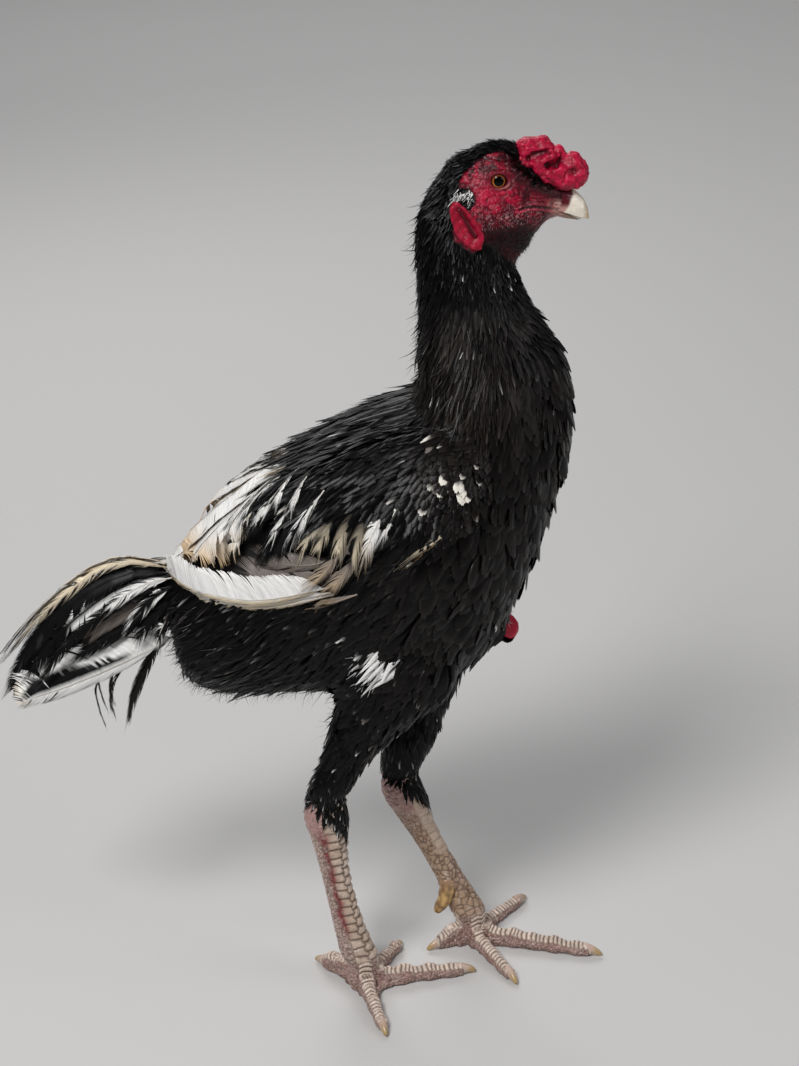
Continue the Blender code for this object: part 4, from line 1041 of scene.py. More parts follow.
def dress(coat, points, tris, allowed, tree, draw):
    """Small feathers all over a skin where allowed. They follow the surfaces in the tree."""
    roots, normals = scatter(points, tris, lambda p: tract(p, [SPACING])[0] * MM, allowed, draw)
    flow, length, half_width, lift, point, rag, brown, rim, tipped = tract(
        roots, [FLOW, LENGTH, HALF_WIDTH, LIFT, POINTED, RAG, BROWNER, RIM, TIPPED])
    n = len(roots)
    length = length * MM * mix(0.8, 1.2, draw.random(n))
    half_width = half_width * MM * mix(0.85, 1.15, draw.random(n))
    saddle = ramp(-0.150, -0.105, roots[:, 0]) * ramp(0.040, 0.010, roots[:, 0])
    saddle = saddle * ramp(0.375, 0.410, roots[:, 2]) * ramp(0.484, 0.462, roots[:, 2])
    path, up = laid(tree, roots, normals, flow, length, lift * MM, draw, offset=SADDLE_STAND * saddle)
    clear = keel_distance(path[:, 1:, 0], path[:, 1:, 2]).min(axis=1) > 0.0078
    clear |= np.abs(roots[:, 1]) > 0.020
    roots, path, up, length, half_width, point, rag, brown, rim, tipped = (
        v[clear] for v in (roots, path, up, length, half_width, point, rag, brown, rim, tipped))
    n = len(roots)
    lean = unit(path[:, -1] - path[:, 0])
    roll = 0.25 * draw.normal(size=(n, 1, 1))
    up = unit(up + np.cross(lean[:, None], up) * roll)
    rag = rag * mix(0.08, 0.30, draw.random(n))
    base = paint(BLACK, BROWN, brown * mix(0.2, 1.0, draw.random(n))) * mix(0.5, 1.2, draw.random((n, 1)))
    # Paler grey-brown locks on the lower neck, as painted sheen of the glossy hackles.
    lock_sheen = (ramp(-0.1, 0.7, noise(roots, 0.016, 161)) * ramp(0.440, 0.465, roots[:, 2])
            * ramp(0.545, 0.515, roots[:, 2]))
    lock_sheen = np.maximum(0.5 * lock_sheen, 1.5 * lock_sheen * bell(roots[:, 0] - 0.048, 0.014))
    base = paint(base, (0.052, 0.046, 0.043), np.minimum(lock_sheen, 1) * draw.random(n))
    edge = paint(base, GREY, rim * mix(0.15, 1.0, draw.random(n)))
    patch = np.hypot(path[:, 2, 0] - FLANK_PATCH[0], (path[:, 2, 2] - FLANK_PATCH[1]) * 1.3) < FLANK_REACH
    patch = patch & (np.abs(roots[:, 1]) > 0.03)
    patch = patch & (draw.random(n) < 0.93)
    path = path + up * (patch[:, None, None] * np.linspace(0, 1.8 * MM, 4)[None, :, None])
    base = np.where(patch[:, None], WHITE * mix(0.5, 1.0, draw.random((n, 1))), base)
    edge = np.where(patch[:, None], WHITE, edge)
    rag = np.where(patch, 0.5, rag)
    point = np.where(patch, 1.0, point)
    half_width = np.where(patch, half_width * 0.75, half_width)
    pale = bell(np.hypot(roots[:, 0] - 0.040, roots[:, 2] - 0.495), 0.030)
    white = draw.random(n) < tipped
    tip_colour = np.where((draw.random(n) < 0.5)[:, None], WHITE, GREY * 4)
    tip_share = np.where(white, mix(0.08, 0.30, draw.random(n)), 0.0)
    edge = paint(edge, (0.17, 0.14, 0.12), 0.55 * pale * draw.random(n))
    for chosen, rows, cols in ((length < 11.5 * MM, 4, 3), (length >= 11.5 * MM, 5, 5)):
        if not chosen.any():
            continue
        made, faces, vane = small_vanes(path[chosen], up[chosen], half_width[chosen], point[chosen],
                                        rag[chosen], draw, rows, cols)
        tint = coat_tint(vane, base[chosen], edge[chosen], tip_colour[chosen], tip_share[chosen], draw)
        coat.add(made, faces, tint, vane, roots[chosen])


def loose_places(points):
    """Where bristles and loose barbs grow: a mask of the points for each place."""
    x, y, z = points.T
    seen, bare, rim, keel = seen_height(points), bareness(points), eye_place(points), keel_distance(x, z)
    face = (bare > 0.6) & (rim > 1.7) & (x < 0.110)
    ear = inside(x, seen, EAR) > 0
    ear_pale = ear & ((seen > 0.5975) | (x < 0.0480))
    nape = (x < 0.030) & (z > 0.475) & (z < 0.610) & (np.abs(y) < 0.022)
    return {
        "face": face,
        "throat": (bare > 0.2) & (seen < 0.5745) & (x > 0.062),
        "cheek": face & (seen > 0.578) & (seen < 0.594) & (x < 0.098),
        "brow": (bare > 0.1) & (seen > 0.6135) & (rim > 1.6),
        "ear pale": ear_pale,
        "ear dark": ear & ~ear_pale,
        "nape": nape,
        "tuft": nape & (z < 0.535) & (noise(points, 0.02, 165) > -0.1),
        "crown": (z > 0.590) & (bare < 0.3) & (x < 0.088),
        "belly": (z < 0.262) & (z > 0.225) & (x < -0.045) | (x < -0.135) & (z < 0.330),
        "hackle": (z > 0.455) & (z < 0.520) & (x < 0.075),
        "flank": (np.hypot(x + 0.020, z - 0.284) < 0.012) & (np.abs(y) > 0.03),
        "keel": (keel > 0.0085) & (keel < 0.015) & (np.abs(y) < 0.022) & (x < KEEL[0] - 0.002),
        # White strands on the shoulders, as painted glints of the glossy black feathers.
        "shoulder": (x > -0.045) & (x < 0.045) & (z > 0.405) & (z < 0.455),
    }


# Bristles and loose barbs: where they grow, their spacing, length and half width in mm, how far they stand
# off and sag, their colours with the share of each, and how wildly they point
LOOSE = (
    ("face", 1.2, 2.2, 0.12, 0.5, 0.0, (BLACK, MAROON), (0.85, 0.15), 0.30),
    ("throat", 0.8, 3.4, 0.22, 0.25, 0.0, (BLACK, MAROON * 0.6), (0.8, 0.2), 0.30),
    ("cheek", 1.6, 2.2, 0.11, 0.5, 0.0, (WHITE * 0.6,), (1.0,), 0.30),
    ("brow", 0.8, 3.2, 0.16, 0.5, 0.0, (BLACK, WHITE * 0.7), (0.95, 0.05), 0.30),
    ("ear pale", 0.7, 5.0, 0.42, 0.35, -0.1, (BLACK, WHITE), (0.25, 0.75), 0.30),
    ("ear dark", 0.7, 4.6, 0.40, 0.35, -0.1, (BLACK, WHITE), (0.92, 0.08), 0.30),
    ("nape", 3.6, 14.0, 1.00, 0.80, -0.40, (BLACK, SOOT), (0.7, 0.3), 0.30),
    ("tuft", 8.0, 26.0, 1.40, 0.95, -0.60, (BLACK, SOOT), (0.7, 0.3), 0.14),
    ("crown", 1.7, 6.0, 0.36, 0.6, -0.1, (BLACK, SOOT), (0.8, 0.2), 0.30),
    ("belly", 3.0, 17.0, 0.40, 0.8, -0.3, (BLACK, SOOT), (0.8, 0.2), 0.30),
    ("hackle", 3.2, 22.0, 0.42, 0.15, 0.0, (BROWN, GREY, BLACK), (0.4, 0.15, 0.45), 0.14),
    ("flank", 2.2, 13.0, 0.35, 0.36, -0.15, (WHITE, BLACK), (0.7, 0.3), 0.06),
    ("keel", 1.4, 6.5, 0.45, 0.60, -0.3, (WHITE * 0.8, CREAM * 0.8, BLACK), (0.45, 0.25, 0.3), 0.30),
    # White strands on the shoulder: painted glints of the glossy black feathers there.
    ("shoulder", 10.0, 20.0, 0.55, 0.18, 0.0, (WHITE,), (1.0,), 0.14),
)


def add_wisps(coat, points, tris, draw):
    """Bristles on the bare face, and loose barbs at the nape, on the neck and under the belly."""
    places = loose_places(points[tris].mean(axis=1))
    for place, spacing, length, half_width, lift, sag, colours, shares, wild in LOOSE:
        roots, normals = scatter(points, tris, lambda p: np.full(len(p), spacing * MM),
                                 lambda _: places[place], draw)
        flow = tract(roots, [FLOW])[0]
        n = len(roots)
        flow = unit(flow - normals * (flow * normals).sum(axis=1, keepdims=True))
        direction = unit(flow + normals * lift + wild * draw.normal(size=(n, 3)))
        tint = np.array(colours)[draw.choice(len(colours), n, p=shares)]
        reach = length * MM * mix(0.5, 1.3, draw.random(n))
        wisps(coat, roots - normals * 0.3 * MM, direction, normals, reach, np.full(n, half_width * MM),
              np.full(n, sag), tint, draw)


# How the small feathers of a wing lie, with the same values as the coat: x and the height across the camera's
# pitch in millimetres, flow in degrees, length, half width, lift, spacing, pointed, ragged, brown, rim, tips
WING_TRACTS = np.array((
    (56, 372, 240, 10, 3, 1.4, 3, 0.2, 0.5, 0.9, 0.5, 0.05),
    (46, 392, 214, 12, 2.8, 1.4, 3.2, 0.5, 0.5, 0.6, 0.4, 0.04),
    (52, 352, 262, 11, 3.2, 1.6, 3.4, 0.2, 0.6, 0.8, 0.5, 0.08),
    (30, 372, 236, 13, 3.6, 1.6, 3.6, 0.1, 0.5, 0.8, 0.5, 0.04),
    (30, 345, 250, 14, 3.8, 1.8, 4, 0.1, 0.6, 0.4, 0.4, 0.08),
    (20, 326, 246, 16, 3.6, 1.8, 4.2, 0.3, 0.7, 0.1, 0.3, 0.05),
    (16, 398, 202, 18, 2.8, 1.8, 3.8, 0.8, 0.5, 0.1, 0.2, 0.1),
    (4, 372, 222, 18, 3.6, 1.8, 4.2, 0.4, 0.4, 0.1, 0.2, 0.02),
    (0, 340, 240, 20, 4.2, 2, 4.6, 0.3, 0.5, 0, 0.1, 0.02),
    (-30, 400, 198, 26, 3, 2, 4.2, 0.9, 0.5, 0, 0.1, 0.08),
    (-30, 372, 214, 26, 4, 2, 4.8, 0.6, 0.5, 0, 0.2, 0.02),
    (-30, 340, 236, 26, 4.4, 2.2, 5, 0.6, 0.7, 0, 0.2, 0.03),
    (-62, 386, 208, 30, 3.4, 2, 4.6, 0.9, 0.6, 0, 0.2, 0.08),
    (-62, 358, 222, 30, 4.2, 2.2, 5, 0.7, 0.7, 0, 0.3, 0.05),
    (-90, 352, 226, 28, 3.6, 2.2, 5, 0.9, 0.9, 0, 0.3, 0.2),
))
WING_COLUMNS = range(2, 12)
# Pale places on the shoulder: x, height, reach
PALE_SPOTS = ((0.041, 0.346, 0.0048), (0.017, 0.384, 0.0008), (0.019, 0.377, 0.0010), (0.027, 0.354, 0.0012),
              (0.039, 0.355, 0.0008), (0.027, 0.348, 0.0006), (0.025, 0.336, 0.0008), (0.029, 0.393, 0.0006))

# Outlines of large feathers: shares along, and the reach of the barbs there
BLUNT = ((0, 0.05, 0.2, 0.5, 0.8, 0.93, 1), (0.3, 0.6, 0.9, 1, 0.95, 0.75, 0.3))
LANCE = ((0, 0.08, 0.3, 0.55, 0.8, 0.93, 1), (0.3, 0.6, 0.95, 1, 0.7, 0.4, 0.1))
PADDLE = ((0, 0.08, 0.3, 0.55, 0.8, 0.92, 1), (0.3, 0.45, 0.85, 1.0, 0.8, 0.5, 0.05))
FAN = ((0, 0.08, 0.3, 0.55, 0.8, 0.93, 1), (0.1, 0.18, 0.4, 0.75, 1.0, 0.9, 0.6))

TAUPE = np.array((0.20, 0.17, 0.15))
LOOKS = {
    "white": dict(base=WHITE, low=CREAM * 1.1, streak=0.03, dark=WHITE * 0.75),
    "grey": dict(base=TAUPE, low=TAUPE * 0.8, streak=0.15, dark=BROWN),
    "tan": dict(base=CREAM * 0.75, tip=TAN, low=TAN, streak=0.2, dark=BROWN),
    "fan": dict(base=WHITE, tip=TAN * 1.35, tip_from=0.66, barb_tip=WHITE * 0.92, streak=0.05,
                dark=WHITE * 0.7),
    "cream": dict(base=WHITE, tip=TAN * 1.2, tip_from=0.5, barb_tip=CREAM * 0.9, streak=0.10, dark=BROWN),
    "black": dict(base=BLACK, streak=0.06, dark=SOOT * 2),
    "pied": dict(base=BLACK, streak=0.40, dark=WHITE),
    "pied white": dict(base=WHITE, streak=0.45, dark=BLACK),
    "ragged": dict(base=BLACK, tip=CREAM * 1.25, tip_from=0.22, streak=0.30, dark=BLACK),
    "streak": dict(base=WHITE, tip=BLACK, tip_from=0.75, streak=0.55, dark=BLACK),
    "brown": dict(base=TAUPE * 1.3, tip=TAN * 1.05, tip_from=0.2, streak=0.30, dark=BROWN),
    "top": dict(base=CREAM * 1.15, tip=BLACK, tip_from=0.60, low=CREAM * 0.7, streak=0.22, low_streak=0.5,
                dark=BLACK),
    "banded": dict(base=WHITE, tip=CREAM, tip_from=0.8, low=WHITE * 0.8, low_streak=0.2, streak=0.10,
                   dark=BLACK, band=(0.07, 0.36)),
    "patched": dict(base=BLACK, patch=(0.20, 0.62), streak=0.35, dark=BLACK),
    "strand": dict(base=BROWN * 0.5, streak=0.2, dark=BLACK),
}

# Large feathers of a wing, in mm: the way of the shaft (x, height), reach of the barbs below and above it,
# height over the side at root and tip, then outline, look, how often the barbs part and how far they sweep
WING_FEATHERS = (
    (((-46, 284), (-75, 278.5), (-100, 277), (-128, 281.5)), 2.5, 9, -5, -4.2, BLUNT, "white", 0.05, 13),
    (((-48, 286), (-80, 280.5), (-107, 279.5), (-135, 285), (-152, 296)),
     2.8, 12, -4.6, -3.4, BLUNT, "white", 0.05, 13),
    (((-46, 298), (-70, 296), (-90, 298), (-112, 308)), 7, 11, -4.4, -3, BLUNT, "grey", 0.05, 13),
    (((-46, 308), (-66, 306), (-85, 310), (-100, 317)), 7, 9, -3.8, -2.4, BLUNT, "grey", 0.06, 13),
    (((-50, 290), (-66, 287.5), (-86, 285), (-107, 285.2), (-138, 293.5), (-155, 304.5), (-164, 315)),
     4.6, 18, -4, 4, BLUNT, "white", 0.04, 13),
    (((-30, 284.5), (-40, 281.5), (-50, 279.5), (-62, 278)),
     2.2, 3.6, -3, -0.8, BLUNT, "brown", 0.1, 13),
    (((-50, 378), (-80, 370), (-104, 356), (-124, 340), (-143, 325), (-152, 317)),
     26, 3, -3, -1.2, FAN, "fan", 0.16, 13),
    (((-56, 381), (-85, 378.5), (-110, 361), (-130, 346), (-145, 333), (-154.5, 320)),
     23, 2.2, -2, 0, FAN, "fan", 0.16, 13),
    (((-64, 374), (-85, 365), (-107, 350), (-127, 333), (-142, 319)),
     12, 9, -5, -3.6, BLUNT, "white", 0.03, 13),
    (((-70, 366), (-90, 352), (-106, 336), (-118, 321)), 9, 9, -5, -3.2, BLUNT, "white", 0.03, 13),
    (((-58, 377), (-80, 368), (-100, 354), (-118, 339), (-131, 325), (-139, 312)),
     18, 5, -2, 0.2, FAN, "fan", 0.2, 13),
    (((-60, 374), (-80, 364), (-96, 352), (-111, 337), (-121, 322), (-126, 309)),
     13, 6, -1.8, 0.6, FAN, "cream", 0.25, 13),
    (((-86, 358), (-98, 346), (-107, 334), (-112, 322), (-113, 312)),
     6, 6, -1.5, 0.4, FAN, "cream", 0.25, 13),
    (((-50, 372), (-70, 362), (-88, 346), (-99, 332), (-106, 325)),
     6.5, 6, -2.6, 0.8, BLUNT, "black", 0.06, 13),
    (((-70, 373), (-86, 361), (-99, 347), (-109, 332)), 3.4, 4.2, 0.6, 2, LANCE, "streak", 0.4, 15),
    (((-82, 368), (-95, 357), (-108, 344), (-118, 331)), 2.8, 3.4, 0.4, 1.4, LANCE, "streak", 0.4, 15),
    (((-74, 362), (-85, 350), (-94, 338), (-100, 327)), 3.4, 3.8, 1.2, 2.2, LANCE, "streak", 0.4, 15),
    (((-64, 372), (-74, 361), (-81, 350), (-84, 340)), 3.2, 3.6, 1.4, 2.4, LANCE, "streak", 0.4, 15),
    (((-59, 365), (-66, 355), (-71, 345), (-73, 336)), 3, 3.4, 1.6, 2.6, LANCE, "streak", 0.4, 15),
    (((-48, 356), (-57, 344), (-64, 331), (-68, 319)), 3, 3.6, 1.4, 2.8, LANCE, "streak", 0.4, 15),
    (((-56, 348), (-65, 336), (-72, 324), (-76, 313)), 3, 3.4, 1.2, 2.6, LANCE, "pied", 0.4, 15),
    (((-66, 350), (-76, 338), (-84, 326), (-89, 316)), 3.2, 3.6, 1.2, 2.4, LANCE, "streak", 0.4, 15),
    (((-58, 376), (-76, 367), (-90, 354), (-101, 341), (-106, 331)),
     5, 5, -1.4, 1.2, LANCE, "pied", 0.35, 13),
    (((-46, 366), (-62, 354), (-78, 338), (-89, 320), (-96, 304)),
     6, 6.5, -2.4, 0.6, BLUNT, "black", 0.06, 13),
    (((-40, 362), (-55, 350), (-70, 334), (-79, 320), (-85, 309)),
     5.5, 5.5, -2.2, 1, BLUNT, "black", 0.1, 13),
    (((-54, 366), (-66, 354), (-78, 340), (-83, 330)), 4, 4.5, -1.4, 1.4, LANCE, "pied", 0.35, 13),
    (((-36, 352), (-50, 338), (-62, 322), (-70, 308)), 6, 6, -2.4, 0.8, LANCE, "ragged", 0.4, 15),
    (((-30, 352), (-43, 337), (-53, 321), (-58, 309)), 5.4, 5.4, -1.6, 1.5, LANCE, "ragged", 0.4, 15),
    (((-30, 322), (-43, 309), (-55, 297), (-66, 288)), 5.5, 6.5, -3, 1, LANCE, "brown", 0.5, 15),
    (((-24, 316), (-35, 303), (-45, 292), (-53, 283)), 5, 6, -2.6, 1.6, LANCE, "brown", 0.5, 15),
    (((-22, 352), (-32, 337), (-40, 320), (-43, 303)), 5.4, 5.4, -1.2, 2, LANCE, "ragged", 0.4, 15),
    (((-12, 350), (-22, 334), (-30, 316), (-33, 298)), 5.4, 5.4, -1.2, 2.2, LANCE, "ragged", 0.4, 15),
    (((-4, 348), (-13, 334), (-21, 318), (-26, 300)), 5.4, 5.4, -1, 2.4, LANCE, "cream", 0.4, 15),
    (((2, 346), (-4, 337), (-10, 326), (-14, 315)), 3.6, 3.8, -0.6, 2.6, BLUNT, "pied white", 0.25, 13),
    (((45, 331), (30, 323), (14, 313), (1, 304)), 2.6, 2.8, -1, 2.4, LANCE, "tan", 0.45, 18),
    (((-48, 386), (-60, 386.2), (-74, 385.5), (-89, 383)), 4, 3.2, 0.4, 2, LANCE, "cream", 0.6, 15),
)

# Large feathers on each side of the tail, in mm: the way of the shaft (x, z) as seen 15 mm from the middle,
# distance from the middle at root and tip, lean in degrees, then reach, outline, look, parting and sweep
TAIL_FEATHERS = (
    (((-160, 344), (-185, 350), (-208, 346), (-233.7, 328.4), (-260, 305), (-286, 276)),
     3, 5, 44, 5, 4, LANCE, "top", 0.3, 15),
    (((-160, 340), (-190, 341), (-224.8, 324), (-258, 294), (-286, 250)),
     6, 10, 40, 9, 8, LANCE, "black", 0.15, 13),
    (((-160, 334), (-195, 332), (-230, 312), (-262, 280), (-284, 247)),
     2, 3, 42, 14, 12, BLUNT, "black", 0.06, 13),
    (((-160, 318), (-190, 310), (-220, 293), (-250, 268)), 3, 4, 36, 11, 11, BLUNT, "black", 0.06, 13),
    (((-160, 336), (-190, 333), (-220, 315), (-250, 288), (-270, 260)),
     9, 14, 34, 11, 8, LANCE, "patched", 0.6, 13),
    (((-160, 322), (-185, 315), (-210, 302), (-230, 288)), 12, 16, 26, 6, 7, BLUNT, "grey", 0.1, 13),
    (((-160, 312), (-185, 304), (-213, 289), (-238, 272)), 12, 16, 24, 6, 7, LANCE, "black", 0.2, 13),
    (((-160, 292), (-177.6, 282.1), (-206.5, 268.4), (-243.1, 254), (-264, 248), (-276.5, 240)),
     14, 20, 22, 7, 28, PADDLE, "banded", 0.1, 15),
    (((-160, 330), (-190, 322), (-220, 302), (-244, 278), (-260, 254)),
     16, 25, 24, 5, 5, LANCE, "black", 0.2, 13),
    (((-158, 336.7), (-176, 333), (-196, 322), (-212, 308)),
     17, 22, 30, 5, 5, LANCE, "pied white", 0.35, 13),
    (((-158, 330), (-172, 321), (-185, 308), (-195, 293)), 19, 23, 26, 5, 5, LANCE, "pied", 0.35, 13),
    (((-156, 323), (-170, 310), (-182, 296), (-189, 282)), 20, 23, 24, 5, 5, LANCE, "black", 0.3, 13),
    (((-152, 318.7), (-163, 306), (-170, 292), (-173, 276)), 21, 23, 22, 4, 4, LANCE, "pied", 0.35, 13),
    (((-165, 300), (-179.2, 273.1), (-193, 245), (-202.3, 216)),
     6, 8, 5, 3.4, 3.4, LANCE, "strand", 0.2, 13),
    (((-180, 290), (-204, 262), (-210, 243), (-208, 227)), 8, 9, 5, 1.6, 1.6, LANCE, "strand", 0.3, 13),
    (((-190, 290), (-217, 260), (-219, 240), (-215, 222)),
     10, 11, 5, 0.8, 0.8, LANCE, "strand", 0.3, 13),
)


def feather_look(base, tip=None, tip_from=0.7, low=None, barb_tip=None, streak=0.0, low_streak=0.0,
                 dark=BLACK, band=None, patch=None):
    """Colours for a large feather, from its place along and across it.

    low is the colour below the shaft, barb_tip that of the barbs' ends, streak the share of streaked barbs,
    band how wide a dark band above the shaft is at its ends, and patch where along the feather it is white.
    """

    def look(along, across, draw):
        count = len(along)
        below = (across < 0)[..., None]
        colour = np.broadcast_to(base, along.shape + (3,))
        if low is not None:
            colour = np.where(below, low, colour)
        if barb_tip is not None:
            colour = paint(colour, barb_tip, ramp(0.55, 1.0, np.abs(across)) * ramp(0.15, 0.45, along))
        if tip is not None:
            colour = paint(colour, tip, ramp(tip_from, 1.0, along + 0.12 * np.abs(across)))
        if patch is not None:
            pale = ramp(patch[0], patch[0] + 0.05, along) * ramp(patch[1], patch[1] - 0.05, along)
            colour = paint(colour, WHITE, pale * ramp(0.10, 0.2, np.abs(across)))
        if band is not None:
            edge = 0.10 * draw.random((count, 1))
            reach = mix(*band, ramp(0.25, 0.70, along))
            inner = ramp(0.0, 0.04, across) * ramp(reach + 0.08, reach, across - edge)
            inner = inner * ramp(0.24, 0.34, along) * ramp(0.97, 0.82, along + edge)
            colour = paint(colour, dark, inner)
        runs = np.cumsum(draw.random(count) < 0.30)
        marked = draw.random((2, runs[-1] + 1)) < np.array(((streak,), (max(low_streak, streak),)))
        starts = 0.6 * draw.random(runs[-1] + 1)[runs]
        cover = np.where(across < 0, marked[1][runs][:, None], marked[0][runs][:, None])
        cover = (cover * ramp(0, 0.15, np.abs(across) - starts[:, None] + 0.1)
                 * ramp(1.0, 0.9, np.abs(across) * starts[:, None]))
        return mix(colour, dark, cover[..., None]) * (1 + 0.07 * draw.normal(size=(count, 1, 1)))

    return look


# The range of a wing in side view, the grid of its pad, and how many places are tried for its small feathers
WING_RANGE = ((-0.130, 0.068), (0.300, 0.415))
PAD_STEP, WING_TRIES = 0.003, 30000


def wing_values(x, q):
    """The values of WING_TRACTS at places on a wing."""
    places = WING_TRACTS[:, :2] * MM
    away = (x[:, None] - places[:, 0]) ** 2 + (q[:, None] - places[:, 1]) ** 2
    weight = 1 / (away + 9e-6) ** 2
    weight /= weight.sum(axis=1, keepdims=True)
    return weight @ WING_TRACTS[:, WING_COLUMNS]


def wing_pad(side):
    """A closed pillow under the small feathers of a wing, to be joined to the skin."""
    xs, qs = (np.arange(low, high, PAD_STEP) for low, high in WING_RANGE)
    x, q = np.meshgrid(xs, qs, indexing="ij")
    deep = inside(x, q, WING)
    top, _ = side.place(x, q, mix(-9.0, -3.2, ramp(0, 0.008, deep)) * MM)
    low, _ = side.place(x, q, np.full(x.shape, -15.0) * MM)
    number = np.arange(x.size).reshape(x.shape)
    a, b, c, d = number[:-1, :-1], number[1:, :-1], number[1:, 1:], number[:-1, 1:]
    kept = (deep[:-1, :-1] > 0) & (deep[1:, 1:] > 0) & (deep[1:, :-1] > 0) & (deep[:-1, 1:] > 0)
    a, b, c, d = (v[kept] for v in (a, b, c, d))
    face = np.concatenate([np.stack([a, b, c], axis=1), np.stack([a, c, d], axis=1)])
    edges = {tuple(e) for e in np.concatenate([face[:, [0, 1]], face[:, [1, 2]], face[:, [2, 0]]]).tolist()}
    rim = [(i, j) for i, j in edges if (j, i) not in edges]
    walls = [t for i, j in rim for t in ((j, i, i + x.size), (j, i + x.size, j + x.size))]
    points = np.concatenate([top.reshape(-1, 3), low.reshape(-1, 3)])
    return points, np.concatenate([face, face[:, ::-1] + x.size, np.array(walls)])


def large_feather(coat, path, up, reach, outline, look, parting, sweep, hand, draw):
    """One of the listed large feathers. reach is that of its barbs below and above the shaft, in mm."""
    shares, shape = outline
    widths = (shares, *(np.array(shape) * size * MM for size in reach))
    shaft_size = mix(0.45, 0.8, min(reach[1] / 8, 1)) * MM
    quill(coat, path, up, widths, feather_look(**LOOKS[look]), draw, hand, sweep=sweep * MM, fray=parting,
          spread=0.2 + 0.4 * parting, shaft_size=shaft_size)


def dress_wing(small, large, side, draw):
    """Small feathers over the arm of one wing, then its large feathers one by one."""
    x, q = (draw.uniform(low, high, WING_TRIES) for low, high in WING_RANGE)
    chosen = inside(x, q, WING) > -0.002
    x, q = x[chosen], q[chosen]
    values = wing_values(x, q)
    kept = spread_out(np.stack([x, q, 0 * x], axis=1), values[:, SPACING - 3] * MM * 0.85, draw)
    x, q, values = x[kept], q[kept], values[kept]
    flow, length = values[:, :2].T
    n = len(x)
    length = length * MM * mix(0.8, 1.2, draw.random(n))
    turn = np.radians(flow + 6 * draw.normal(size=n))
    share = np.linspace(0, 1, 4)
    xs = x[:, None] + np.cos(turn)[:, None] * length[:, None] * share
    qs = q[:, None] + np.sin(turn)[:, None] * length[:, None] * share
    shown = inside(xs[:, -1], qs[:, -1], COVERED) > 0
    values, xs, qs = values[shown], xs[shown], qs[shown]
    half_width, lift, _, point, rag, brown, rim, tipped = values[:, 2:].T
    n = len(values)
    rise = (lift * mix(0.7, 1.3, draw.random(n)))[:, None]
    path, up = side.place(xs, qs, (-2.6 + (2.6 + 0.7 * rise) * share ** 0.9) * MM)
    half_width = half_width * MM * mix(0.85, 1.15, draw.random(n))
    base = paint(BLACK, BROWN, brown * mix(0.2, 1.0, draw.random(n))) * mix(0.5, 1.2, draw.random((n, 1)))
    edge = paint(base, GREY, rim * mix(0.0, 0.8, draw.random(n)))
    white = draw.random(n) < 0.6 * tipped
    tip_share = np.where(white, mix(0.06, 0.28, draw.random(n)), 0.0)
    for sx, sq, reach in PALE_SPOTS:
        near = np.hypot(xs[:, -1] - sx, qs[:, -1] - sq) < reach + 0.001
        tip_share = np.where(near, 0.6, tip_share)
    tip_colour = np.where((draw.random(n) < 0.7)[:, None], mix(CREAM, WHITE, 0.6), GREY * 4)
    made, faces, vane = small_vanes(path, up, half_width, point, rag * mix(0.05, 0.25, draw.random(n)), draw)
    tint = coat_tint(vane, base, edge, tip_colour, tip_share, draw)
    small.add(made, faces, tint, vane, path[:, 0])
    for line, low, high, root, tip, outline, look, parting, sweep in WING_FEATHERS:
        spots = curve(line, 10) * MM
        off = np.linspace(root, tip, 10) * MM
        path, up = side.place(spots[:, 0], spots[:, 1], off)
        large_feather(large, path, up, (low, high), outline, look, parting, sweep, -side.side, draw)


def dress_tail(large, side, draw):
    """The large feathers on one side of the tail. The far side's differ a little from the near side's."""
    slope = math.tan(math.radians(PITCH))
    for line, root, tip, lean, low, high, outline, look, parting, sweep in TAIL_FEATHERS:
        spots = curve(line, 10) * MM
        out = np.linspace(root, tip, 10) * MM
        z = spots[:, 1] + (out - 0.015) * slope
        jitter = draw.normal(size=2) * (0.0015 if side > 0 else 0)
        path = np.stack([spots[:, 0] + jitter[0], side * out, z + jitter[1] * np.linspace(0, 1, 10)], axis=1)
        turn = math.radians(lean)
        up = np.broadcast_to(np.array((0, side * math.cos(turn), math.sin(turn))), path.shape)
        large_feather(large, path, up, (low, high), outline, look, parting, sweep, -side, draw)


def even_surface(meshes, voxel, times):
    """Closed meshes joined into one even, finely divided surface, with its normals."""
    mesh = remeshed(*joined(*meshes), voxel)
    points, tris = read_mesh(mesh)
    bpy.data.meshes.remove(mesh)
    points = smoothed(points, tris, times)
    return points, tris, normals_of(points, tris)


# Lobes of the comb: centre (x, y, z), half sizes
COMB_LOBES = in_mm(((93.5, 0, 622), (9.6, 9.5, 8.8)), ((101, 0, 622.4), (9, 9.2, 8.6)),
                   ((89.1, 6.8, 615.2), (4.6, 3.6, 3.6)), ((95.7, 7.8, 614.8), (4.8, 3.6, 3.4)),
                   ((102, 8, 616.8), (4.6, 3.4, 3)), ((107.5, 7, 619.6), (4, 3.4, 3.4)),
                   ((113, 0, 617.8), (4.5, 6.4, 6.2)), ((99.8, 7.4, 609), (6, 4.2, 5.2)),
                   ((106.4, 8, 606.4), (7.6, 4.4, 6.4)), ((113.2, 7.8, 608), (5.6, 4.2, 5.8)),
                   ((121.5, 0, 611), (7.6, 8.8, 8.5)), ((124, 0, 605.5), (8.8, 8, 10.2)),
                   ((122.5, 5.6, 606), (8.2, 5, 9.8)), ((115, 8, 602), (8.5, 4, 5.8)))
# Valleys and hollows of the comb in side view: the line, how wide and how deep, in mm
COMB_FOLDS = (
    (in_mm((92.5, 618.6), (96.5, 620.6), (101.5, 621.6), (106, 622.8)), 1.7, 2.3),
    (in_mm((104.5, 613.8), (110.5, 613.2), (113.8, 615.8), (116.5, 620.5)), 1.5, 2.4),
    (in_mm((100, 612), (104.5, 612.2)), 1, 1),
    (in_mm((116.8, 608.5), (115, 603)), 1, 1.3),
    (in_mm((104.5, 605), (109, 602)), 0.9, 0.9),
    (in_mm((121.2, 609.6), (122.2, 609)), 3, 2.4),
)


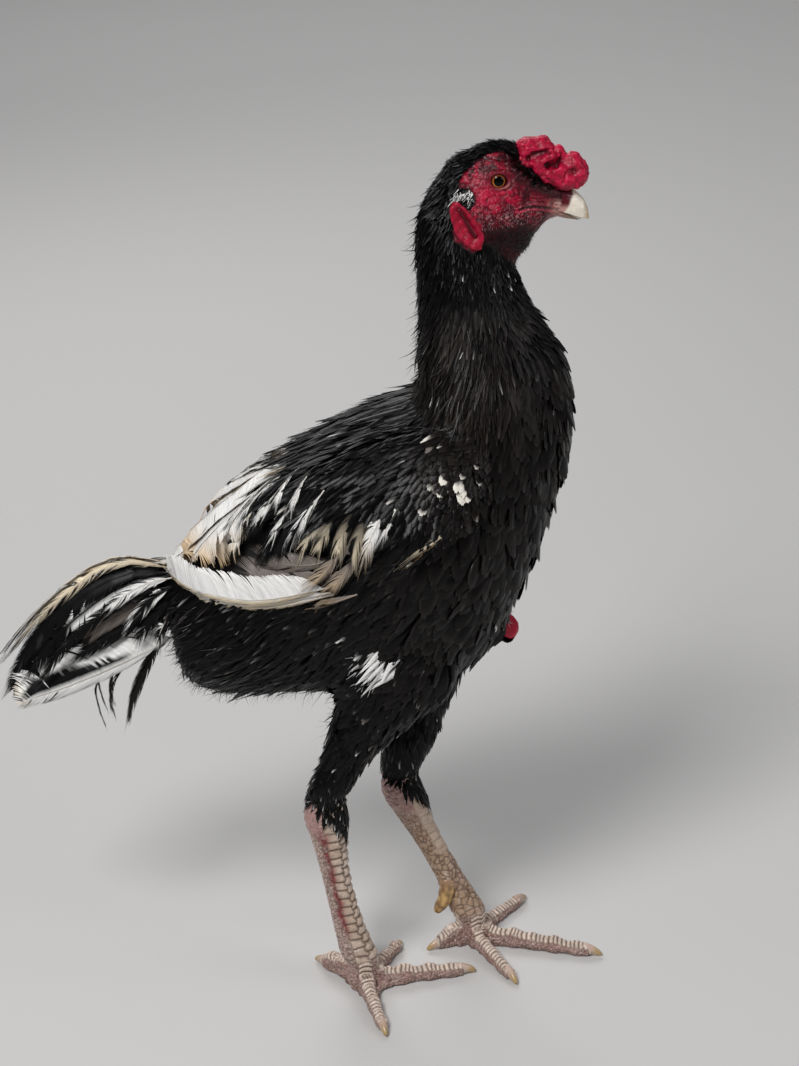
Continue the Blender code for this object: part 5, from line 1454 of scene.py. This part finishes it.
def make_comb(finish):
    """One lumpy comb out of its lobes, with folds and grain, painted light on its bumps, and painted shade in
    its dips, its folds and low down on it.
    """
    balls = [ball((0.108, 0, 0.610), (0.018, 0.008, 0.010))]
    for (x, y, z), size in COMB_LOBES:
        for side in ((1, -1) if y else (1,)):
            balls.append(ball((x, side * y, z), size))
    points, tris, normals = even_surface(balls, 0.6 * MM, 8)
    x, y, z = points.T
    outer = ramp(0.003, 0.006, np.abs(y))
    wobble = np.stack([noise(points, 0.006, 73), noise(points, 0.006, 74)], axis=1) * 0.8 * MM
    folds = np.zeros(len(points))
    for line, width, deep in COMB_FOLDS:
        folds = np.maximum(folds, deep * bell(line_distance(x + wobble[:, 0], z + wobble[:, 1], line),
                                              width * MM))
    folds = folds * outer
    first, *_ = cells(points, 0.0017, 61)
    small, *_ = cells(points, 0.0009, 67)
    grain = 0.50 * (0.55 - first) + 0.26 * (0.5 - small)
    lumps = (0.55 * noise(points, 0.0052, 71) + 0.5 * noise(points, 0.0027, 75)
             - 0.35 * bell(noise(points, 0.0075, 72), 0.20))
    points = raised(points, normals, grain + 1.15 * lumps - 1.25 * folds)
    # Painted light on the bumps and grains, and painted shade in the dips between them.
    shade = np.clip(0.5 + 2.0 * grain + 0.35 * lumps, 0, 1)
    tint = paint((0.24, 0.001, 0.016), (0.60, 0.009, 0.062), shade)
    # Painted shade in the folds and in the hollows between the lumps.
    tint = paint(tint, (0.075, 0.001, 0.005), np.clip(0.46 * folds - 0.5 * lumps - 0.08, 0, 0.9))
    # Painted shade low down on the comb, over the face.
    under = ramp(0.6035, 0.5965, z) * ramp(0.122, 0.112, x)
    tint = paint(tint, MAROON, 0.8 * under)
    piece("comb_skin", points, tris, finish, tint, ("comb",), patch=unwrap(points))


def make_eye(side_name, finish):
    """An eyeball with pupil and iris, looking out and a little forward."""
    side = 1 if side_name == "left" else -1
    points, _ = packed("eye_" + side_name)
    centre = (points.min(axis=0) + points.max(axis=0)) / 2
    radius = (points[:, 2].max() - points[:, 2].min()) / 2
    turns = np.concatenate([np.linspace(0, 50, 36), np.linspace(56, 180, 14)])
    around = np.linspace(0, 2 * math.pi, 49)[:-1]
    polar, turn = np.meshgrid(np.radians(turns), around, indexing="ij")
    look = unit(np.array((0.10, side, 0.02)))
    across = unit(np.cross(look, (0, 0, 1)))
    up = np.cross(across, look)
    bulge = radius * (1 + 0.03 * bell(polar, 0.5))
    outward = across * np.cos(turn)[..., None] + up * np.sin(turn)[..., None]
    points = look * np.cos(polar)[..., None] + outward * np.sin(polar)[..., None]
    points = points * bulge[..., None] + centre
    iris = np.array((0.42, 0.12, 0.018)) * (0.75 + 0.25 * np.sin(turn * 17) ** 2)[..., None]
    iris = paint(iris, (0.80, 0.36, 0.08), 0.7 * ramp(-0.2, 1.0, -np.sin(turn)))
    # Painted shadow of the upper lid over the top of the iris.
    iris = paint(iris, (0.10, 0.022, 0.006), 0.85 * ramp(0.0, 0.8, np.sin(turn)))
    degrees = np.degrees(polar)
    tint = paint(np.full(points.shape, 0.0006), iris, ramp(31.0, 33.0, degrees))
    tint = paint(tint, (0.06, 0.012, 0.008), ramp(38, 42, degrees))
    rows, columns = polar.shape
    number = np.arange(rows * columns).reshape(rows, columns)
    a, b = number[:-1], number[1:]
    c, d = np.roll(b, -1, axis=1), np.roll(a, -1, axis=1)
    tris = np.concatenate([np.stack([a, b, c], axis=-1).reshape(-1, 3),
                           np.stack([a, c, d], axis=-1).reshape(-1, 3)])
    points, tint = points.reshape(-1, 3), tint.reshape(-1, 3)
    piece("eyeball_" + side_name, points, tris, finish, tint, ("eye_" + side_name,))


def horn(path, widths, heights, sides=14):
    """A closed tapered tube along a path, and the share along it of each point."""
    path = np.array(path)
    ahead = unit(np.gradient(path, axis=0))
    across = unit(np.cross(ahead, (0, 0, 1)))
    up = np.cross(across, ahead)
    turn = np.arange(sides) * 2 * math.pi / sides
    rings = path[:, None] + (across[:, None] * (np.array(widths)[:, None] * np.cos(turn))[..., None]
                             + up[:, None] * (np.array(heights)[:, None] * np.sin(turn))[..., None])
    points = np.concatenate([rings.reshape(-1, 3), path[:1], path[-1:] + ahead[-1:] * heights[-1]])
    tris, last = [], (len(path) - 1) * sides
    for k in range(sides):
        n = (k + 1) % sides
        tris += [(n, k, last + sides), (last + k, last + n, last + sides + 1)]
        for row in range(0, last, sides):
            tris += [(row + k, row + n, row + sides + n), (row + k, row + sides + n, row + sides + k)]
    share = np.append(np.repeat(np.linspace(0, 1, len(path)), sides), (0, 1))
    return points, np.array(tris), share


def make_horn(finish):
    """Beak, claws and spurs."""
    ivory, yellow = np.array((0.80, 0.73, 0.62)), np.array((0.56, 0.38, 0.16))
    for half in ("upper", "lower"):
        points, tris, normals = even_surface([packed("beak_" + half)], 0.45 * MM, 5)
        lines = 0.10 * noise(points * (1, 3, 3), 0.004, 81)
        points = raised(points, normals, lines)
        x, z = points[:, 0], points[:, 2]
        rim = np.interp(x, (0.112, 0.120, 0.127, 0.132), (0.5832, 0.5788, 0.5740, 0.5670))
        tan = np.array((0.34, 0.21, 0.13))
        tint = paint(tan, ivory, ramp(-0.0002, 0.0004, z - rim))
        tint = paint(tint, (0.06, 0.03, 0.02), 0.85 * bell(z - rim + 0.0001, 0.00035) * (x < 0.129))
        tint = paint(tint, yellow, 0.85 * ramp(0.1275, 0.1325, x + 0.0008 * noise(points, 0.003, 87)))
        seen = seen_height(points)
        # The skin at the root of the beak, darker towards the top with painted shade under the comb.
        flesh = paint((0.46, 0.24, 0.21), (0.085, 0.005, 0.012), ramp(0.5880, 0.5925, seen))
        edge = np.interp(seen, (0.5840, 0.5862, 0.5914, 0.5980), (0.1140, 0.1155, 0.1190, 0.1215))
        edge = x + 0.001 * noise(points, 0.004, 83) - edge
        tint = paint(tint, flesh, ramp(0.0012, -0.0014, edge))
        piece("beak_horn_" + half, points, tris, finish, tint * (1 + 0.6 * lines[:, None]),
              ("beak_" + half,))
    share = np.linspace(0, 1, 16)
    for side_name, (root, bend, tip) in SPURS.items():
        path = curve((root, bend, tip), 16)
        size = mix(7.0, 2.9, share ** 1.3) * MM
        points, tris, along = horn(path, size, size * 1.1, 22)
        points = smoothed(points, tris, 2)
        normals = normals_of(points, tris)
        lumps = noise(points, 0.0045, 91)
        points = raised(points, normals, 0.5 * lumps)
        tint = paint((0.22, 0.12, 0.05), (0.60, 0.38, 0.14), ramp(-0.4, 0.5, noise(points, 0.0026, 93)))
        tint = paint((0.36, 0.20, 0.13), tint, ramp(0.0, 0.35, along))
        piece("spur_horn_" + side_name, points, tris, finish, tint, ("spur_" + side_name,))
    for side_name, toes in TOE_ENDS.items():
        for toe, end in toes.items():
            along, _ = toe_way(side_name, toe)
            start = end - along * (CLAW_LENGTH + 0.0030)
            path = np.zeros((16, 3))
            path[:, :2] = mix(start, end - along * 0.0022, share[:, None])
            path[:, 2] = 0.0066 - 0.0040 * share ** 1.6
            size = (1 - share ** 3 * 0.55) * (3.5 if toe == "hallux" else 3.7) * MM
            points, tris, far = horn(path, size * 0.82, size)
            points[:, 2] = np.maximum(points[:, 2], 0.0003)
            outer = ramp(0.35, 0.95, far + 0.15 * noise(points, 0.002, 95))
            tint = paint((0.58, 0.42, 0.35), yellow * 0.8, outer)
            name = f"claw_{toe}_{side_name}"
            piece(name + "_horn", points, tris, finish, tint, (name,))


def make_earlobe(side_name, finish):
    """A wrinkled lobe with a groove in it, with painted light on the ridges of its wrinkles and painted shade
    in their dips and in the groove.
    """
    points, tris, _ = even_surface([packed("earlobe_" + side_name)], 0.5 * MM, 4)
    high = ramp(0.578, 0.5905, points[:, 2])
    points = (points + np.stack([-0.0012 * high, -0.6 * MM * high * np.sign(points[:, 1]), 0.0062 * high],
                                axis=1))
    normals = normals_of(points, tris)
    x, z = points[:, 0], points[:, 2]
    groove = bell(line_distance(x, z, EAR_GROOVE), 0.0017)
    fold = 0.5 * np.sin((x - 0.9 * z) / 0.0011 + 2 * noise(points, 0.008, 101))
    points = raised(points, normals, -1.9 * groove + 0.22 * fold + 0.6 * noise(points, 0.0035, 103))
    # Painted light on the ridges of the wrinkles, and painted shade in their dips and in the groove.
    tint = paint((0.20, 0.001, 0.012), (0.42, 0.006, 0.038), 0.5 + 0.5 * fold)
    tint = paint(tint, (0.030, 0.001, 0.003), 0.95 * groove)
    piece("earlobe_skin_" + side_name, points, tris, finish, tint, ("earlobe_" + side_name,),
          patch=unwrap(points))


# Legs: middle of each shank by height (z, x), middle of each foot, ends of the toes
SHANK_LINE = {
    "right": in_mm((167.7, -61), (150, -62.2), (132, -60.5), (100, -57.5), (60, -51), (33, -45),
                   (0, -41.5)),
    "left": in_mm((147.7, -8), (131, -6), (113, 1), (87, 13), (56, 27.5), (33, 37.5), (0, 41.5)),
}
FEET = {"right": np.array((-0.0415, -0.027)), "left": np.array((0.0415, 0.027))}
TOE_ENDS = {
    "right": {"hallux": in_mm(-79, 8), "inner_toe": in_mm(-11, 24), "middle_toe": in_mm(44, -16.5),
              "outer_toe": in_mm(-25, -93)},
    "left": {"hallux": in_mm(6, 12), "inner_toe": in_mm(73, -37), "middle_toe": in_mm(140, -4),
             "outer_toe": in_mm(88, 79)},
}
WEB_REACH, SCUTE_PITCH, TOE_SCUTE_PITCH, CLAW_LENGTH = 0.033, 0.0072, 0.0034, 0.0125
# Spurs: root, middle and tip
SPURS = {"left": ((0.0255, 0.0230, 0.0600), (0.0225, 0.0185, 0.0450), (0.0155, 0.0165, 0.0335)),
         "right": ((-0.0490, -0.0210, 0.0570), (-0.0530, -0.0130, 0.0470), (-0.0570, -0.0090, 0.0370))}
# The lower edge of the leg's feathers in side view, from behind to in front (x, z)
FEATHER_EDGE = {"right": ((-0.080, 0.178), (-0.045, 0.136)), "left": ((-0.028, 0.163), (0.016, 0.116))}


def toe_way(side_name, toe):
    """Which way a toe points on the floor, and how far it reaches with its claw."""
    way = TOE_ENDS[side_name][toe] - FEET[side_name]
    return unit(way), np.linalg.norm(way)


def make_web(side_name, toe):
    """A thin skin in the corner between the middle toe and another."""
    foot = FEET[side_name]
    a, b = (toe_way(side_name, name)[0] for name in ("middle_toe", toe))
    corner = unit(a + b) * WEB_REACH * 0.66
    flat = [foot, foot + a * WEB_REACH * 1.25, foot + corner, foot + b * WEB_REACH]
    points = np.array([(*p, z) for z in (0.0010, 0.0060) for p in flat])
    points[4, 2] += 0.006
    tris = [(0, 2, 1), (0, 3, 2), (4, 5, 6), (4, 6, 7)]
    for i in range(4):
        j = (i + 1) % 4
        tris += [(i, j, j + 4), (i, j + 4, i + 4)]
    return points, np.array(tris)


def leg_nodes(side_name):
    """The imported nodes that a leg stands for, without its claws and spur."""
    return ["shank_" + side_name] + [f"{toe}_{side_name}" for toe in TOE_ENDS[side_name]]


def shank_middle(side_name, z):
    """The middle of the shank at each height (x, y)."""
    line = SHANK_LINE[side_name][::-1]
    y = mix(0.027, 0.032, np.clip(z / 0.16, 0, 1)) * (1 if side_name == "left" else -1)
    return np.stack([np.interp(z, line[:, 0], line[:, 1]), y], axis=1)


def leg_surface(side_name):
    """A shank with foot, toes and webs as one even surface, its toes made slimmer between the joints."""
    foot, toes = FEET[side_name], TOE_ENDS[side_name]
    webs = [make_web(side_name, toe) for toe in ("inner_toe", "outer_toe")]
    back, reach = toe_way(side_name, "hallux")
    share = np.linspace(0, 1, 8)
    path = np.column_stack([foot + back * (share * (reach - CLAW_LENGTH))[:, None],
                            mix(0.021, 0.0066, share)])
    thumb = horn(path, mix(6.8, 4.9, share) * MM, mix(7.0, 5.0, share) * MM)[:2]
    tips = []
    for toe, end in toes.items():
        spot = end - toe_way(side_name, toe)[0] * (CLAW_LENGTH - 0.0010)
        tips.append(ball((*spot, 0.0052), (0.0046, 0.0046, 0.0044)))
    spur_root = ball(mix(np.array(SPURS[side_name][0]), SPURS[side_name][1], 0.15), (0.0078, 0.0070, 0.0085))
    meshes = [packed(*leg_nodes(side_name)), *webs, *tips, thumb, spur_root]
    points, tris, _ = even_surface(meshes, 0.62 * MM, 3)
    on_toe = np.zeros(len(points))
    flat = points[:, :2] - foot
    for toe in toes:
        along, length = toe_way(side_name, toe)
        length = length - CLAW_LENGTH + 0.0035
        run, off = flat @ along, flat @ np.array((-along[1], along[0]))
        mine = (run > 0.008) & (np.abs(off) < 0.0088) & (points[:, 2] < 0.016)
        knuckle = 0.10 * np.cos(2 * math.pi * run / 0.0165) * ramp(0.016, 0.024, run)
        narrow = (0.06 * ramp(length - 0.010, length, run) + 0.26 * ramp(length - 0.0030, length, run)
                  - knuckle)
        shrink = np.where(mine, narrow, 0)
        points[:, :2] -= np.outer(off * shrink, (-along[1], along[0]))
        points[:, 2] -= shrink * (points[:, 2] - 0.004)
        on_toe = np.where(mine, ramp(0.0085, 0.0060, np.abs(off)), on_toe)
    top = SHANK_LINE[side_name][0, 0]
    tuck = 1 - 0.10 * ramp(top - 0.014, top - 0.002, points[:, 2])
    middle = shank_middle(side_name, points[:, 2])
    points[:, :2] = middle + (points[:, :2] - middle) * tuck[:, None]
    away = np.linalg.norm(flat, axis=1)
    pull = 0.0050 * (1 - on_toe) * ramp(0.034, 0.014, points[:, 2]) * ramp(0.006, 0.014, away)
    points[:, :2] -= flat / np.maximum(away, 1e-6)[:, None] * pull[:, None]
    points[:, 2] = np.maximum(points[:, 2], 0)
    return smoothed(points, tris, 2), tris


def toe_places(side_name, points, normals):
    """How far along and off its toe each point lies, and how surely it is on the toe's upper face."""
    best, toe_run, toe_top, toe_off = np.full(len(points), 0.35), *np.zeros((3, len(points)))
    flat = points[:, :2] - FEET[side_name]
    for toe in TOE_ENDS[side_name]:
        along, _ = toe_way(side_name, toe)
        run, off = flat @ along, flat @ np.array((-along[1], along[0]))
        match = run / np.maximum(np.hypot(run, off), 1e-6) * (run > 0.001)
        facing = ramp(0.25, 0.50, np.maximum(normals[:, 2], 0.9 * normals[:, :2] @ along))
        closer = match > best
        best = np.where(closer, match, best)
        toe_run = np.where(closer, run - 0.9 * np.maximum(points[:, 2] - 0.012, 0), toe_run)
        toe_top = np.where(closer, facing * ramp(0.0054, 0.0042, np.abs(off)), toe_top)
        toe_off = np.where(closer, off, toe_off)
    return toe_run, toe_off, toe_top


def plate_row(place, seam):
    """Along a row of plates: the share of the way over each plate, how near a seam is, and the bulge."""
    step = place - np.floor(place)
    return step, np.maximum(bell(step, seam), bell(step - 1, seam)), 1 - (2 * step - 1) ** 2


def leg_relief(side_name, points, normals):
    """How far each point of a leg stands out in mm, and the shares that its colour is made from."""
    x, y, z = points.T
    near = side_name == "right"
    middle_x, middle_y = shank_middle(side_name, z).T
    turn = np.arctan2(y - middle_y, x - middle_x)
    on_shank = ramp(0.022, 0.029, z)
    wide, bold = (1.75, 1) if near else (1.15, 0.35)

    front = ramp(wide + 0.1, wide - 0.1, np.abs(turn))
    shift = turn + 0.62 + 0.16 * noise(points, 0.006, 113) + 0.10 * np.sin(2 * math.pi * z / SCUTE_PITCH)
    column = (shift > 0) | (not near)
    place = z / SCUTE_PITCH + 0.16 * turn ** 2 * column + 0.16 * noise(points, 0.008, 111) + 0.5 * ~column
    plate_number = np.stack([np.floor(place), column, np.zeros(len(points))], axis=1).astype(np.int64)
    step, scute_edge, pillow = plate_row(place, 0.13)
    scute_edge = np.maximum(scute_edge, bell(shift, 0.09) * near)
    scute_edge = np.maximum(scute_edge, bell(np.abs(turn) - wide, 0.10))
    scute = 0.75 * pillow - 0.35 * step - 1.0 * scute_edge + 0.25 * noise(points, 0.0030, 117)

    size = ramp(2.6, 1.9, np.abs(turn)) * (0.25 if near else 1.0) * ramp(0.115, 0.075, z)
    size = mix(mix(0.0023, 0.0056, size), 0.0021, 1 - on_shank)
    size = np.round(size * 2000) / 2000
    first, second, shade = cells(points / size[:, None], 1.0, 121)
    edge = ramp(0.22, 0.04, second - first)
    scale = 0.8 * (0.6 - first) - 0.75 * edge

    toe_run, toe_off, toe_top = toe_places(side_name, points, normals)
    place = (toe_run - 36 * toe_off ** 2) / TOE_SCUTE_PITCH + 0.22 * noise(points, 0.006, 123)
    _, toe_edge, pillow = plate_row(place, 0.19)
    toe_scute = 0.45 * pillow + 0.30 - 0.7 * toe_edge

    big = front * on_shank * (1 if near else ramp(0.078, 0.084, z))
    top = toe_top * ramp(0.031, 0.026, z)
    relief = mix(mix(0.7 * scale, bold * scute, big), toe_scute, top)
    edges = mix(mix(edge, bold * scute_edge, big), toe_edge, top)
    height = SHANK_LINE[side_name][0, 0]
    upper = ramp(height - 0.036, height - 0.022, z)
    wrinkle = 0.7 * noise(points * (1, 1, 2.4), 0.0034, 131)
    relief = mix(relief, wrinkle, upper * (1 - 0.6 * front))
    plate_shade = ((0.10 if near else 0.5) + 0.5 * bold * number_of(plate_number, 119))[:, None]
    return relief, dict(z=z, turn=turn, front=front, on_shank=on_shank, plate_shade=plate_shade, shade=shade,
                        big=big, top=top, edges=edges * (1 - 0.8 * upper), upper=upper)


def leg_tint(points, near, z, turn, front, on_shank, plate_shade, shade, big, top, edges, upper):
    """Colours of a leg from the shares that leg_relief works out."""
    ivory, ochre, mauve, tan, raw, foot_skin = np.array((
        (0.62, 0.50, 0.42), (0.38, 0.25, 0.15), (0.50, 0.33, 0.30), (0.42, 0.29, 0.19), (0.24, 0.018, 0.026),
        (0.40, 0.24, 0.20)))
    mottle = (0.5 + 0.5 * noise(points, 0.006, 141))[:, None]
    golden = (ramp(0.115, 0.090, z) * ramp(-0.6, 0.6, noise(points, 0.020, 143)))[:, None]
    shank_skin = mix(mauve, ivory * 0.8, mottle) if near else mix(mix(mauve, tan, 0.6), ochre, 0.7 * golden)
    plate = mix(ivory, ochre if near else tan, plate_shade * mix(0.6, 1.0, mottle))
    tint = paint(shank_skin, plate, big)
    for colour, share in ((mix(mauve, foot_skin, mottle), 1 - on_shank),
                          (ivory * mix(1.0, 1.3, mottle), top),
                          (mix(mauve, raw, 0.25) * mix(0.8, 1.1, mottle), upper * (1 - front))):
        tint = paint(tint, colour, share)
    tint = tint * mix(0.85, 1.12, shade)[:, None]
    if near:
        streak = bell(turn + 1.85 + 0.30 * noise(points, 0.010, 149), 0.34)
        streak = streak * ramp(0.045, 0.060, z) * ramp(0.150, 0.135, z)
        tint = paint(tint, raw, 0.95 * streak * ramp(-1.1, -0.3, noise(points, 0.0030, 151)))
    warts = ramp(0.1, 0.5, noise(points, 0.0022, 147)) * (1 - big) * (1 - top)
    # Pale warts, dark seams between the scales, and painted shade along the floor at the bottom of the foot.
    for colour, share in ((ivory, 0.35 * warts),
                          ((0.075, 0.036, 0.022), 0.92 * np.clip(edges, 0, 1) * mix(0.75, 1.0, top)),
                          ((0.08, 0.055, 0.045), 0.6 * ramp(0.0035, 0.0, z))):
        tint = paint(tint, colour, share)
    return tint


def make_leg(side_name, finish):
    """A shank and foot in one skin: scutes in front and on the toes, small scales elsewhere."""
    points, tris = leg_surface(side_name)
    normals = normals_of(points, tris)
    relief, shares = leg_relief(side_name, points, normals)
    points = raised(points, normals, relief)
    points[:, 2] = np.maximum(points[:, 2], 0)
    tint = leg_tint(points, side_name == "right", **shares)
    piece("leg_" + side_name, points, tris, finish, tint, leg_nodes(side_name))
    return points, tris


# Surfaces of the pieces. The names with capitals are sockets of the shader
FLESHY = dict(Subsurface_Weight=0.08, Subsurface_Radius=(0.004, 0.001, 0.0006))
FINISHES = {
    "bare skin": dict(roughness=0.44, mottle=0.24, grain=0.0012, relief=0.55, Specular_IOR_Level=0.24,
                      **FLESHY),
    "body feathers": dict(roughness=0.28, mottle=0.35, relief=0.25, depth=0.0002, vane=True,
                          Specular_IOR_Level=0.13),
    "flight feathers": dict(roughness=0.38, mottle=0.06, relief=0.1, depth=0.0001, vane=True,
                            Specular_IOR_Level=0.16),
    "comb skin": dict(roughness=0.38, mottle=0.22, grain=0.0009, relief=0.70, Specular_IOR_Level=0.28,
                      **FLESHY),
    "horn": dict(roughness=0.24, mottle=0.10, grain=0.0016, relief=0.15, Coat_Weight=0.15),
    "leg scales": dict(roughness=0.33, mottle=0.20, grain=0.0011, relief=0.40, Specular_IOR_Level=0.50),
    "eye": dict(roughness=0.04, mottle=0.0, grain=0.01, relief=0.0, Specular_IOR_Level=0.12),
}


def build():
    """All pieces, with the coat and the wings drawn from one row of random numbers."""
    make_floor()
    make_camera()
    make_lights()
    finish = {name: material(name, **values) for name, values in FINISHES.items()}
    draw = np.random.default_rng(5)

    sides = [Side(-1), Side(1)]
    points, tris, tint = make_skin([wing_pad(side) for side in sides])
    piece("skin", points, tris, finish["bare skin"], tint, FLESH, patch=unwrap(points))
    coat = Coat("coat", finish["body feathers"], "body_feathers")
    legs = [make_leg(side_name, finish["leg scales"]) for side_name in ("left", "right")]
    surface, faces = joined((points, tris), *legs)
    tree = BVHTree.FromPolygons(surface.tolist(), faces.tolist())
    dress(coat, points, tris, on_body, tree, draw)
    for leg in legs:
        dress(coat, *leg, on_leg, tree, draw)
    add_wisps(coat, points, tris, draw)
    coat.write()

    small = Coat("wing_coverts", finish["body feathers"], "body_feathers")
    large = Coat("quills", finish["flight feathers"], "flight_feathers")
    for side in sides:
        dress_wing(small, large, side, draw)
        dress_tail(large, side.side, draw)
    small.write(("wing_left", "wing_right"))
    large.write(("tail",))

    make_comb(finish["comb skin"])
    make_horn(finish["horn"])
    for side_name in ("left", "right"):
        make_eye(side_name, finish["eye"])
        make_earlobe(side_name, finish["comb skin"])


build()
